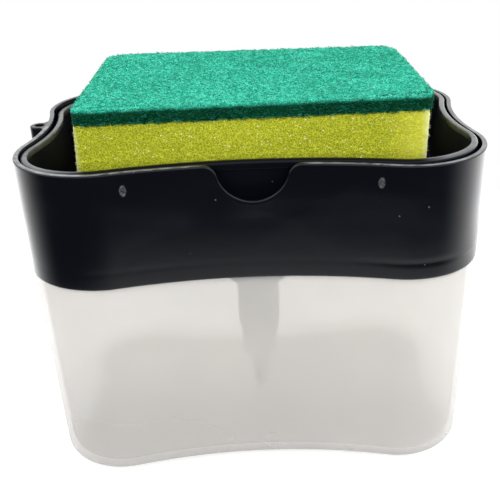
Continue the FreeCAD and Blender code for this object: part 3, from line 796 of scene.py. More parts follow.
class FinishBoard(NodeBoard):
    """A material that is one Principled shader, with patterns on its object's own coordinates."""

    def __init__(self, name: str) -> None:
        """Starts the material.

        Args:
            name: The material's name.
        """
        self.material = bpy.data.materials.new(name)
        self.material.use_nodes = True
        super().__init__(self.material.node_tree)
        self.shader = self.add("BsdfPrincipled")
        self.add("OutputMaterial", Surface=self.shader.outputs["BSDF"])
        where = self.add("TexCoord").outputs["Object"]
        scaled = self.add("Mapping", Vector=where, Scale=(1 / MM,) * 3)
        self.place = scaled.outputs["Vector"]

    def finish(self, **inputs: object) -> Material:
        """Ends the material.

        Args:
            inputs: What the shader's inputs take, by name.

        Returns:
            The material.
        """
        for name, value in inputs.items():
            self.put(self.shader.inputs[name.replace("_", " ")], value)
        return self.material

    def axis(self, name: str) -> Socket:
        """The place along X, Y or Z, in millimetres."""
        return self.add("SeparateXYZ", Vector=self.place).outputs[name]

    def tone(self) -> Socket:
        """The mesh's own number at each point."""
        node = self.add("Attribute")
        node.attribute_name = "tone"
        return node.outputs["Fac"]

    def noise(self, size: float, detail: float = 2.0, roughness: float = 0.5) -> Socket:
        """Makes smooth noise.

        Args:
            size: Over how many millimetres it changes.
            detail: How many finer layers it has.
            roughness: How strong they are.

        Returns:
            Numbers from 0 to 1.
        """
        pattern = {"Scale": 1 / size, "Detail": detail, "Roughness": roughness}
        return self.add("TexNoise", Vector=self.place, **pattern).outputs["Fac"]

    def stretched(self, size: Triple) -> Socket:
        """Noise over a different size in each direction, with three finer layers."""
        place = self.add("Mapping", Vector=self.place, Scale=tuple(1 / length for length in size))
        return self.add("TexNoise", Vector=place.outputs[0], Scale=1.0, Detail=3.0).outputs["Fac"]

    def bubbles(self, size: float, edges: bool = False) -> bpy.types.Node:
        """Makes a pattern of cells.

        Args:
            size: The cells' size in millimetres.
            edges: Whether it tells the distance to their walls, and not to their centres.

        Returns:
            The node.
        """
        node = self.add("TexVoronoi", Vector=self.place, Scale=1 / size)
        node.feature = "DISTANCE_TO_EDGE" if edges else "F1"
        return node

    def specks(self, *patterns: Specks) -> Socket:
        """Makes small dots, each in the middle of a cell.

        Args:
            patterns: Each kind of dot.

        Returns:
            1 inside a dot, and 0 outside.
        """
        total: object = 0.0
        for size, share, radius in patterns:
            cells = self.bubbles(size)
            random = self.add("SeparateColor", Color=cells.outputs["Color"]).outputs["Red"]
            near = self.between(cells.outputs["Distance"], (radius / size, radius / size / 2))
            dots = self.sum("MULTIPLY", self.sum("LESS_THAN", random, share), near)
            total = self.sum("MAXIMUM", total, dots)
        return total

    def blend(self, share: Socket, first: object, second: object) -> Socket:
        """Mixes two colours.

        Args:
            share: The second one's share.
            first: A colour, or its socket.
            second: Another.

        Returns:
            The mixed colour.
        """
        node = self.add("Mix", Factor=share)
        node.data_type = "RGBA"
        for name, value in (("A", first), ("B", second)):
            self.put(next(s for s in node.inputs if s.name == name and s.type == "RGBA"), value)
        return next(s for s in node.outputs if s.type == "RGBA")

    def clouded(self, first: object, second: object, noise: Socket, source: Span) -> Socket:
        """A colour that goes to a second one where noise is high in its range."""
        return self.blend(self.between(noise, source), first, second)

    def relief(self, relief: Relief, detail: float = 2.0, under: object = None) -> Socket:
        """The normal of a surface tipped by noise, over the normal under it."""
        return self.bump(self.noise(relief[0], detail), relief[1], under)

    def bump(self, height: Socket, depth: float, under: object = None) -> Socket:
        """Tips the surface by a height.

        Args:
            height: The height, from 0 to 1.
            depth: How many millimetres 1 stands for.
            under: The normal of the bump under it, if there is one.

        Returns:
            The normal.
        """
        node = self.add("Bump", Height=height, Distance=depth * MM, Strength=1.0)
        if under is not None:
            self.put(node.inputs["Normal"], under)
        return node.outputs["Normal"]


@dataclass(frozen=True)
class DarkPlastic:
    """Glossy dark moulded plastic with faint flow marks, handling haze and settled dust."""

    name: str
    colour: Colour = (0.0028, 0.0036, 0.0064)
    haze_colour: Colour = (0.0042, 0.0050, 0.0084)
    dust_colour: Colour = (0.20, 0.205, 0.215)
    wear_and_highlight_colour: Colour = (0.25, 0.255, 0.27)
    roughness: Span = (0.15, 0.22)
    specular: float = 0.3
    haze_size: Triple = (38, 38, 16)
    dust: Specks = (2.6, 0.16, 0.24)
    peel: Relief = (0.9, 0.004)
    waves: Relief = (9.0, 0.03)

    def material(self) -> Material:
        """The finish as a material."""
        board = FinishBoard(self.name)
        haze = board.between(board.stretched(self.haze_size), (0.42, 0.70))
        colour = board.blend(haze, self.colour, self.haze_colour)
        settled = board.between(board.noise(21.0, 1.0), (0.46, 0.6))
        dust = board.sum("MULTIPLY", board.specks(self.dust), settled)
        colour = board.blend(dust, colour, self.dust_colour)
        # The tone mixes in wear and scuffs, and on rims a painted highlight
        colour = board.blend(board.tone(), colour, self.wear_and_highlight_colour)
        hazed = board.between(haze, (0, 1), self.roughness)
        return board.finish(
            Base_Color=colour,
            Roughness=board.sum("ADD", hazed, board.sum("MULTIPLY", dust, 0.3)),
            Specular_IOR_Level=self.specular,
            Normal=board.relief(self.waves, under=board.relief(self.peel)),
        )


@dataclass(frozen=True)
class MilkyPlastic:
    """Thin natural plastic that lets part of what is behind show through a pale milkiness.

    Painted shade: darker low down, most of all on the left, and darkest near the foot.
    """

    name: str
    colour: Colour = (0.80, 0.765, 0.72)
    cool_colour: Colour = (0.76, 0.735, 0.70)
    # The colour of the painted shade low down and near the foot
    painted_shade_colour: Colour = (0.24, 0.232, 0.226)
    speck_colour: Colour = (0.28, 0.28, 0.27)
    roughness: Span = (0.42, 0.48)
    alpha: float = 0.36
    specks: tuple[Specks, Specks] = ((9.0, 0.10, 0.24), (21.0, 0.3, 0.4))

    def material(self) -> Material:
        """The finish as a material; the ranges of heights and places are in millimetres."""
        board = FinishBoard(self.name)
        clouds, height = board.noise(34.0), board.axis("Z")
        colour = board.clouded(self.colour, self.cool_colour, clouds, (0.35, 0.68))
        # Painted shade: darker low down, more so on the left
        across = board.between(board.axis("X"), (-65.0, 45.0), (0.40, 0.26))
        low = board.sum("MULTIPLY", board.between(height, (46.0, 8.0)), across)
        colour = board.blend(low, colour, self.painted_shade_colour)
        # Painted shade near the foot, eased off at the very bottom
        foot = board.between(height, (0.5, 1.8), (0.0, 0.95))
        foot_shade = board.sum("MULTIPLY", board.between(height, (5.2, 1.6)), foot)
        colour = board.blend(foot_shade, colour, self.painted_shade_colour)
        return board.finish(
            Base_Color=board.blend(board.specks(*self.specks), colour, self.speck_colour),
            Roughness=board.between(board.noise(12.0), (0.2, 0.8), self.roughness),
            Specular_IOR_Level=0.1,
            Alpha=self.alpha,
        )


@dataclass(frozen=True)
class CloudedFinish:
    """A finish whose colour goes in clouds to a second one."""

    name: str
    colour: Colour
    shade_colour: Colour
    cloud_size: float = 5.0
    cloud_detail: float = 3.0
    clouds: Span = (0.3, 0.7)

    def clouded(self, board: FinishBoard) -> Socket:
        """The clouded colour."""
        noise = board.noise(self.cloud_size, self.cloud_detail)
        return board.clouded(self.colour, self.shade_colour, noise, self.clouds)


@dataclass(frozen=True)
class PalePlastic(CloudedFinish):
    """Opaque pale moulded plastic with a faint grain and slight unevenness."""

    clouds: Span = (0.3, 0.72)
    roughness: Span = (0.34, 0.48)
    grain: Relief = (0.35, 0.005)
    translucency: float = 0.25
    scatter: float = 1.6

    def material(self) -> Material:
        """The finish as a material."""
        board = FinishBoard(self.name)
        return board.finish(
            Base_Color=self.clouded(board),
            Roughness=board.between(board.noise(2.2, 3.0), (0.3, 0.7), self.roughness),
            Normal=board.relief(self.grain),
            Subsurface_Weight=self.translucency,
            Subsurface_Scale=self.scatter * MM,
        )


@dataclass(frozen=True)
class SoftRubber(CloudedFinish):
    """Matt sealing rubber."""

    colour: Colour = (0.62, 0.60, 0.55)
    shade_colour: Colour = (0.5084, 0.492, 0.451)
    cloud_size: float = 1.4
    cloud_detail: float = 4.0
    grain: Relief = (0.12, 0.008)
    roughness: float = 0.62

    def material(self) -> Material:
        """The finish as a material."""
        board = FinishBoard(self.name)
        colour, normal = self.clouded(board), board.relief(self.grain, 3.0)
        return board.finish(Base_Color=colour, Roughness=self.roughness, Normal=normal)


@dataclass(frozen=True)
class DrawnSteel(CloudedFinish):
    """Bright drawn wire with fine marks along its length."""

    colour: Colour = (0.58, 0.58, 0.57)
    shade_colour: Colour = (0.435, 0.435, 0.4275)
    cloud_size: float = 2.5
    clouds: Span = (0.35, 0.7)
    roughness: Span = (0.16, 0.34)

    def material(self) -> Material:
        """The finish as a material."""
        board = FinishBoard(self.name)
        rough = board.between(board.noise(0.18, 4.0), (0.3, 0.7), self.roughness)
        return board.finish(Base_Color=self.clouded(board), Metallic=1.0, Roughness=rough)


@dataclass(frozen=True)
class ValveGlass(CloudedFinish):
    """The greenish glass of a valve ball."""

    colour: Colour = (0.72, 0.80, 0.77)
    shade_colour: Colour = (0.612, 0.68, 0.6545)
    cloud_size: float = 1.2
    cloud_detail: float = 2.0

    def material(self) -> Material:
        """The finish as a material."""
        board = FinishBoard(self.name)
        colour = self.clouded(board)
        return board.finish(Base_Color=colour, Roughness=0.05, Transmission_Weight=0.6)


@dataclass(frozen=True)
class OpenFoam:
    """Open-cell foam: bright struts, painted shade in the bubbles' hollows, and painted glints.

    It has painted light towards its right end, and a pale painted rim light at both ends.
    """

    name: str
    strut_colour: Colour = (0.78, 0.83, 0.06)
    hollow_shade_colour: Colour = (0.36, 0.40, 0.007)
    glint_colour: Colour = (1.0, 1.0, 0.62)
    painted_light_colour: Colour = (1.0, 1.0, 0.10)
    painted_rim_light_colour: Colour = (0.88, 0.92, 0.42)
    painted_light_end: Span = (34.0, 48.0)
    painted_rim_light_ends: Span = (46.2, 49.4)
    cell: float = 0.75
    glints: tuple[Specks, Specks] = ((1.3, 0.5, 0.3), (4.0, 0.2, 0.34))

    def material(self) -> Material:
        """The finish as a material."""
        board = FinishBoard(self.name)
        walls = board.bubbles(self.cell, edges=True).outputs["Distance"]
        strut, grain = board.between(walls, (0.14, 0.02)), board.noise(0.27, 1.0, 0.6)
        bright = board.sum("ADD", board.sum("MULTIPLY", strut, 0.30), grain)
        # Painted shade: darker in the hollows and in the pits that the tone marks
        bright = board.sum("SUBTRACT", bright, board.sum("MULTIPLY", board.tone(), 0.10))
        colour = board.clouded(self.hollow_shade_colour, self.strut_colour, bright, (0.36, 0.86))
        # Painted light: brighter towards the right end, as if lit from the right
        along = board.axis("X")
        right_light = board.sum("MULTIPLY", board.between(along, self.painted_light_end), 0.6)
        colour = board.blend(right_light, colour, self.painted_light_colour)
        # Painted rim light: both ends pale in patches, where back light catches the struts
        ends = board.between(board.sum("ABSOLUTE", along), self.painted_rim_light_ends)
        rim_light = board.sum("MULTIPLY", ends, board.between(grain, (0.25, 0.6), (0.4, 1.0)))
        colour = board.blend(rim_light, colour, self.painted_rim_light_colour)
        return board.finish(
            # Painted glints: small bright dots in the base colour
            Base_Color=board.blend(board.specks(*self.glints), colour, self.glint_colour),
            Roughness=0.6,
            Specular_IOR_Level=0.2,
            Normal=board.bump(strut, 0.07, board.bump(grain, 0.09)),
            Subsurface_Weight=0.2,
            Subsurface_Radius=(1.0, 1.0, 0.25),
            Subsurface_Scale=1.5 * MM,
        )


@dataclass(frozen=True)
class WovenFibre:
    """Bonded scouring fibre: bright where strands lie on top, painted shade down between them."""

    name: str
    strand_colour: Colour = (0.033, 0.71, 0.485)
    gap_shade_colour: Colour = (0.0015, 0.095, 0.05)
    pale_colour: Colour = (0.29, 0.92, 0.74)
    dark_fibre_and_shade_colour: Colour = (0.0005, 0.037, 0.0085)

    def material(self) -> Material:
        """The finish as a material."""
        board = FinishBoard(self.name)
        grain, patches = (board.noise(size, 1.0, 0.6) for size in (0.26, 0.24))
        # Painted shade in the gaps between the strands
        colour = board.clouded(self.gap_shade_colour, self.strand_colour, grain, (0.36, 0.60))
        colour = board.clouded(colour, self.pale_colour, patches, (0.57, 0.68))
        return board.finish(
            # Tone adds random dark fibres, and painted shade on the sides and top front edge
            Base_Color=board.blend(board.tone(), colour, self.dark_fibre_and_shade_colour),
            Roughness=0.7,
            Specular_IOR_Level=0.04,
            Normal=board.bump(grain, 0.12),
        )


# The tank


@dataclass
class Tank:
    """The tank that holds the soap: one thin shell with a rounded foot and a rim for the cover."""

    outline: CaseOutline
    top: float
    shoulder: float = 65.7
    foot_inset: float = 3.1
    shoulder_inset: float = 1.0
    wall: float = 1.6
    floor: float = 2.0
    foot_radius: float = 7.0
    ledge: float = 1.8
    rim_outer: float = 2.5
    rim_inner: float = 4.0
    bottom_rise: float = 0.6
    bottom_inset: float = 12.0
    bottom_slope: float = 1.2
    flat_shares: Span = (0.97, 0.1)
    flat_rings: int = 12

    def wall_inset(self, height: float) -> float:
        """The outer wall's inset at a height, in proportion between its foot and shoulder."""
        part = height / self.shoulder
        return self.foot_inset + part * (self.shoulder_inset - self.foot_inset)

    def surface(self) -> Array:
        """The shell's points: out along the underside, up outside, over the rim and back in."""
        outer = [
            Corner(self.bottom_inset + 3, self.bottom_rise, step=6),
            Corner(self.bottom_inset, self.bottom_rise, 1.0),
            Corner(self.bottom_inset - self.bottom_slope, 0, 1.0),
            Corner(self.foot_inset, 0, self.foot_radius, step=3),
            Corner(self.shoulder_inset, self.shoulder, 0.45),
            Corner(self.rim_outer, self.shoulder, 0.2),
            Corner(self.rim_outer, self.top, 0.4),
            Corner(self.rim_inner, self.top, 0.3),
        ]
        under = self.shoulder - self.ledge
        foot_inset = self.wall_inset(self.floor) + self.wall
        inner = [
            Corner(self.rim_inner, under, 0.3),
            Corner(self.wall_inset(under) + self.wall, under, 0.5, step=3),
            Corner(foot_inset, self.floor, self.foot_radius - self.wall),
            Corner(self.bottom_inset, self.floor),
        ]
        shares = np.linspace(*self.flat_shares, self.flat_rings)
        rows = flat_ends(case_rows(profile(outer + inner)), shares, shares[::-1])
        return self.outline.columns().carry(rows)

    def build(self) -> None:
        """Makes the tank."""
        material = MilkyPlastic("milky_tank").material()
        shells = Shells().add(self.surface(), capped=True)
        shells.piece("tank_shell", Body.TANK, Slot.TANK, material, ["reservoir"])


# The cover


@dataclass(frozen=True)
class FingerNotch:
    """The notch in the front wall: a round bottom that flares out to the rim by two arcs."""

    top: float
    depth: float = 10.5
    radius: float = 10.0
    shoulder: float = 4.0

    @property
    def _centre(self) -> float:
        """The height of the bottom arc's centre."""
        return self.top - self.depth + self.radius

    @property
    def _turn(self) -> float:
        """The angle from straight down at which the bottom arc meets a shoulder arc."""
        drop = self._centre - self.top + self.shoulder
        return math.acos(drop / (self.radius + self.shoulder))

    @property
    def half_width(self) -> float:
        """The x where a shoulder arc meets the rim."""
        return (self.radius + self.shoulder) * math.sin(self._turn)

    def places(self, step: float) -> Array:
        """The x of points that lie evenly along the notch, from its middle to the rim."""
        bottom = self.radius * self._turn
        length = (self.radius + self.shoulder) * self._turn
        along = np.linspace(0, length, math.ceil(length / step) + 1)
        on_bottom = self.radius * np.sin(np.minimum(along, bottom) / self.radius)
        angle = self._turn - np.maximum(along - bottom, 0) / self.shoulder
        on_shoulder = self.half_width - self.shoulder * np.sin(angle)
        return np.where(along <= bottom, on_bottom, on_shoulder)

    def edge(self, x: Array) -> tuple[Array, Array]:
        """The notch's height over each x, and the direction out of the wall there.

        On the bottom arc the height is the centre's less the root of radius^2 - x^2, and on a
        shoulder arc it is that arc's centre plus the root of shoulder^2 - distance^2.

        Args:
            x: Places across the front.

        Returns:
            Heights, and (across, up) directions of length 1.
        """
        joint = self.radius * math.sin(self._turn)
        far = np.abs(x)
        low = np.sqrt(np.maximum(self.radius**2 - np.minimum(far, joint) ** 2, 0))
        beside = np.clip(self.half_width - far, 0, self.shoulder)
        rise = np.sqrt(self.shoulder**2 - beside**2)
        bottom = far <= joint
        height = np.where(bottom, self._centre - low, self.top - self.shoulder + rise)
        across = np.where(bottom, -far / self.radius, -beside / self.shoulder)
        up = np.where(bottom, low / self.radius, rise / self.shoulder)
        return height, np.column_stack([across * np.sign(x), up])


@dataclass(frozen=True)
class MouldMark:
    """A shallow oval in the front wall, with a raised and scuffed lip."""

    across: float = 34.4
    drop: float = 5.0
    half_width: float = 0.72
    half_height: float = 1.28
    depth: float = 0.25
    lip: float = 0.05
    lip_width: float = 0.2
    floor_scuff: float = 0.6
    room: float = 1.5
    step: float = 0.12

    def shape(self, x: Array, up: Array) -> tuple[Array, Array]:
        """The depth and the scuffing at places on the wall.

        Both follow how far a place is from the oval's middle as a share of the oval's size: the
        floor falls away inside a share of 1, and the lip is a bell round it.

        Args:
            x: Places across the front.
            up: Heights over the marks' middle.

        Returns:
            Depths, and shares of scuffing.
        """
        away = np.hypot((np.abs(x) - self.across) / self.half_width, up / self.half_height)
        bell = np.exp(-(((away - 1.0) / self.lip_width) ** 2))
        depth = self.depth * smooth_step(away, 0.98, 0.62) - self.lip * bell
        near = away < 2.5
        scuff = np.maximum(bell, self.floor_scuff * smooth_step(away, 1.0, 0.5))
        return np.where(near, depth, 0), np.where(near, scuff, 0)


@dataclass
class Cover:
    """The dark cover: a skirt round the tank, a deck, a pump well and neck, and a side lug."""

    outline: CaseOutline
    top: float
    foot: float = 66.0
    wall: float = 1.6
    relief: float = 0.45
    relief_drops: Span = (3, 6)
    foot_inset: float = 0.6
    deck_under: float = 70.2
    deck_over: float = 71.8
    well_bore: float = 17.0
    well_wall: float = 1.6
    well_floor: float = 64.5
    well_under: float = 62.9
    neck_outer: float = 8.8
    neck_bore: float = 7.2
    neck_foot: float = 50.9
    stem_hole: float = 4.0
    edge: float = 0.5
    inner_edge: float = 0.25
    sink_height: float = 71.0
    sink_depth: float = 0.13
    sink_width: float = 0.9
    sink_across: Span = (22, 46)
    sink_share: Span = (0.15, 0.85)
    ripple: Waves = Waves(30.0, 0.4, 3)
    settle: float = 16.0
    notch_drops: Span = (0.7, 3.4)
    notch_step: float = 0.45
    front_step: float = 1.5
    rib_thickness: float = 1.6
    rib_depth: float = 4.0
    rib_reach: float = 35.7
    rib_count: int = 8
    lug_radius: float = 3.0
    lug_bore: float = 1.5
    lug_foot: float = 88.0
    lug_standoff: float = 1.75
    lug_fillet: float = 1.3
    lug_back: float = 2.6
    # Rim wear with a painted highlight: its strength in front, behind, and its patches
    rim_wear_and_highlight: float = 0.9
    back_rim_wear_and_highlight: float = 0.34
    rim_patches: Waves = Waves(0.9, 0.6, 9)
    scuff_grain: float = 2.8
    mark: MouldMark = MouldMark()

    def inset(self, height: float) -> float:
        """How far the outer wall stands in at a height: nothing at the top."""
        return self.foot_inset * (self.top - height) / (self.top - self.foot)

    def rows(self) -> Array:
        """The cover's profile, once round: outside, over the rim, deck, well and underneath."""
        low = self.inset(self.deck_under) + self.wall
        deck = self.inset(self.deck_over) + self.wall
        band = self.top - self.mark.drop
        # Heights on the outer face, each with the step from there up
        heights = [
            (self.foot + 2.4, 0.45),
            (self.sink_height + 2.6, 2.4),
            (band - self.mark.room - 0.6, 0.17),
            (band + self.mark.room + 0.4, 0.3),
        ]
        outside = [Corner(self.inset(height), height, step=step) for height, step in heights]
        relief_top, relief_foot = (self.top - drop for drop in self.relief_drops)
        skirt = [
            Corner(low, self.deck_under, 0.3),
            Corner(self.foot_inset + self.wall, self.foot, 0.3),
            Corner(self.foot_inset, self.foot, 0.25, step=1),
            *outside,
            Corner(0, self.top, self.edge),
            Corner(self.wall, self.top, self.inner_edge, step=0.45),
            Corner(self.wall + self.inset(relief_top), relief_top),
            Corner(self.wall + self.inset(relief_foot) - self.relief, relief_foot, step=2.2),
            Corner(deck, self.deck_over, 1.2),
            Corner(deck + 4, self.deck_over),
        ]
        outer = self.well_bore + self.well_wall
        pump = [
            Corner(self.well_bore + 1.6, self.deck_over),
            Corner(self.well_bore, self.deck_over, 0.6),
            Corner(self.well_bore, self.well_floor, 1.0, step=3),
            Corner(self.stem_hole, self.well_floor, 0.3),
            Corner(self.stem_hole, self.well_under, 0.2),
            Corner(self.neck_bore, self.well_under, 0.2),
            Corner(self.neck_bore, self.neck_foot, 0.2),
            Corner(self.neck_outer, self.neck_foot, 0.3),
            Corner(self.neck_outer, self.well_under, 0.6),
            Corner(outer, self.well_under, 0.9),
            Corner(outer, self.deck_under, 0.5, step=3),
            Corner(outer + 2, self.deck_under),
        ]
        return joined_rows(case_rows(profile(skirt)), round_rows(profile(pump)), 8)

    def surface(self, notch: FingerNotch) -> tuple[Array, Array]:
        """The cover's points, with the notch, the sink line and the marks.

        Near the rim a point moves with the notch's edge, by its depth under the rim along the
        edge's own normal. Deeper down the wall is only squeezed in height, and at the settling
        depth it is back in place.

        Args:
            notch: The finger notch.

        Returns:
            The points, and each one's tone: mark scuffs, and rim wear with a painted highlight.
        """
        mark = self.mark
        inner, outer = mark.across - mark.room, mark.across + mark.room
        front = [
            notch.places(self.notch_step),
            np.arange(notch.half_width + 1.2, inner, self.front_step),
            np.arange(inner, outer, mark.step),
            np.linspace(outer, self.outline.front_end, 4),
        ]
        columns = self.outline.columns(np.concatenate(front))
        rows = self.rows()
        grid = columns.carry(rows)
        x, up = grid[..., 0], grid[..., 2]
        on_wall = (rows[:, 2] == 0)[:, None]
        in_front = (np.abs(x) < notch.half_width) & (grid[..., 1] < 0) & on_wall
        moved = in_front & (up > self.top - self.settle)
        height, out = notch.edge(x[0])
        depth = self.top - up
        squeeze = 1 - depth / self.settle
        squeezed = self.top - self.settle + squeeze * (height - self.top + self.settle)
        share = smooth_step(depth, *self.notch_drops)
        across = -out[:, 0] * depth * (1 - share)
        raised = (height - out[:, 1] * depth) * (1 - share) + squeezed * share
        grid[..., 2] = np.where(moved, raised, up)
        grid[..., :2] += np.where(moved, across, 0)[..., None] * columns.tangent
        outside = on_wall & (rows[:, 0] < self.wall / 2)[:, None] & (up < self.top - self.edge)
        dent, scuff = mark.shape(grid[..., 0], grid[..., 2] - self.top + mark.drop)
        dent = np.where(grid[..., 1] < 0, dent, 0)
        ripple = 0.6 + self.ripple.at(grid)
        sink = np.exp(-(((up - self.sink_height) / self.sink_width) ** 2))
        least, more = self.sink_share
        sink = sink * (least + more * smooth_step(x, *self.sink_across))
        sink = sink * smooth_step(-grid[..., 1], -20, 20)
        dent = dent + self.sink_depth * sink * ripple
        grid[..., :2] -= np.where(outside, dent, 0)[..., None] * columns.normal
        cover_tone = np.where(outside & (grid[..., 1] < 0), scuff, 0)
        # The rim's top gets wear and a painted highlight line, full beside the notch and less
        # behind
        rim = (rows[:, 0] > 0.2) & (rows[:, 0] < self.wall) & (rows[:, 3] > self.top - 0.06)
        beside = smooth_step(np.abs(x), notch.half_width - 1, notch.half_width + 3)
        painted_edge = np.where(grid[..., 1] < 0, beside, self.back_rim_wear_and_highlight)
        painted_edge = self.rim_wear_and_highlight * painted_edge * (0.7 + self.rim_patches.at(grid)).clip(0.1, 1.3)
        cover_tone = cover_tone * (0.14 + 0.6 * lattice_noise(np.floor(grid * self.scuff_grain), 5))
        return grid, np.where(rim[:, None] & on_wall, painted_edge, cover_tone)

    def lug_columns(self) -> Columns:
        """Columns round the lug, which meets the wall by a round fillet on each side.

        Towards the wall the outline is the ray's nearer crossing of the fillet's circle, and
        inside the wall it is a plane parallel to the wall's face.

        Returns:
            The columns, with the lug's outer radius as their reach.
        """
        wall_x = self.outline.length / 2 - self.outline.short_hollow
        middle = (-(wall_x + self.lug_standoff), self.lug_back)
        angles = np.linspace(-math.pi, math.pi, 96, endpoint=False)
        normal = directions(angles)
        reach_to_fillet = self.lug_radius + self.lug_fillet
        fillet_x = self.lug_standoff - self.lug_fillet
        fillet_y = math.sqrt(reach_to_fillet**2 - fillet_x**2)
        along = normal[:, 0] * fillet_x + np.abs(normal[:, 1]) * fillet_y
        inside = self.lug_fillet**2 - reach_to_fillet**2 + along**2
        fillet = along - np.sqrt(np.maximum(inside, 0))
        sunk = (self.lug_standoff + self.wall / 2) / np.maximum(normal[:, 0], 1e-6)
        on_circle = np.abs(angles) > math.atan2(fillet_y, fillet_x)
        in_wall = np.abs(angles) < math.atan2(fillet_y, self.lug_standoff)
        reach = np.where(on_circle, self.lug_radius, np.where(in_wall, sunk, fillet))
        return Columns(np.tile(middle, (len(angles), 1)), normal, reach, middle)

    def lug(self) -> Array:
        """The small tube on the left end, as a grid of points."""
        across, up = (self.lug_bore, self.lug_radius), (self.lug_foot, self.top - 0.02)
        points = profile(block_corners(across, up, (0.2, 0.3, 0.45, 0.3), 2), closed=True)
        columns = self.lug_columns()
        span = self.lug_radius - self.lug_bore
        share = ((points[:, 0] - self.lug_bore) / span)[:, None]
        radius = self.lug_bore + share * (columns.reach[None, :] - self.lug_bore)
        plan = np.array(columns.middle) + radius[..., None] * columns.normal
        up = np.broadcast_to(points[:, 1, None, None], plan.shape[:2] + (1,))
        return np.concatenate([plan, up], axis=2)

    def ribs(self) -> list[Array]:
        """The ribs under the deck, turned round the well."""
        half = self.rib_thickness / 2
        start = self.well_bore + self.well_wall / 2
        foot = self.deck_under - self.rib_depth
        low, high = (start, -half), (self.rib_reach, half)
        plain = hanging_bar(low, high, foot, self.deck_under + 0.4, 0.2)
        ribs = []
        for turn in np.arange(self.rib_count) * 2 * math.pi / self.rib_count:
            spin = np.array([[math.cos(turn), -math.sin(turn)], [math.sin(turn), math.cos(turn)]])
            rib = plain.copy()
            rib[..., :2] = plain[..., :2] @ spin.T
            ribs.append(rib)
        return ribs

    def build(self) -> None:
        """Makes the cover."""
        # The tone holds the marks' scuffs, and the rim's wear with its painted highlight
        grid, cover_tone = self.surface(FingerNotch(self.top))
        shells = Shells().add(grid, ring=True, tone=cover_tone)
        shells.add(self.lug(), ring=True)
        for rib in self.ribs():
            shells.add(rib, capped=True)
        material = DarkPlastic("dark_cover").material()
        shells.piece("cover_shell", Body.COVER, Slot.COVER, material, ["cover"])


# The dish


@dataclass(frozen=True)
class Seat:
    """How the dish sits on the stem: sloped and turned by a little, as in the photograph."""

    rise_across: float = 0.0128
    rise_back: float = -0.0110
    turn: float = -0.0125
    height: float = 81.7
    still_radius: float = 10.0
    free_radius: float = 30.0

    def slope(self, points: Array) -> Array:
        """How much the seat raises each point."""
        return self.rise_across * points[..., 0] + self.rise_back * points[..., 1]

    def place(self, points: Array) -> Array:
        """Turns the points about the seat, but for those round the hub.

        A point moves by the cross product of the small turns and its place from the seat,
        times a smooth step over its distance from the stem's axis.

        Args:
            points: Points, with 3 as the last axis.

        Returns:
            The turned points.
        """
        turns = np.array([self.rise_back, -self.rise_across, self.turn])
        away = points - np.array([0, 0, self.height])
        radius = np.hypot(points[..., 0], points[..., 1])
        share = smooth_step(radius, self.still_radius, self.free_radius)
        return points + np.cross(turns, away) * share[..., None]


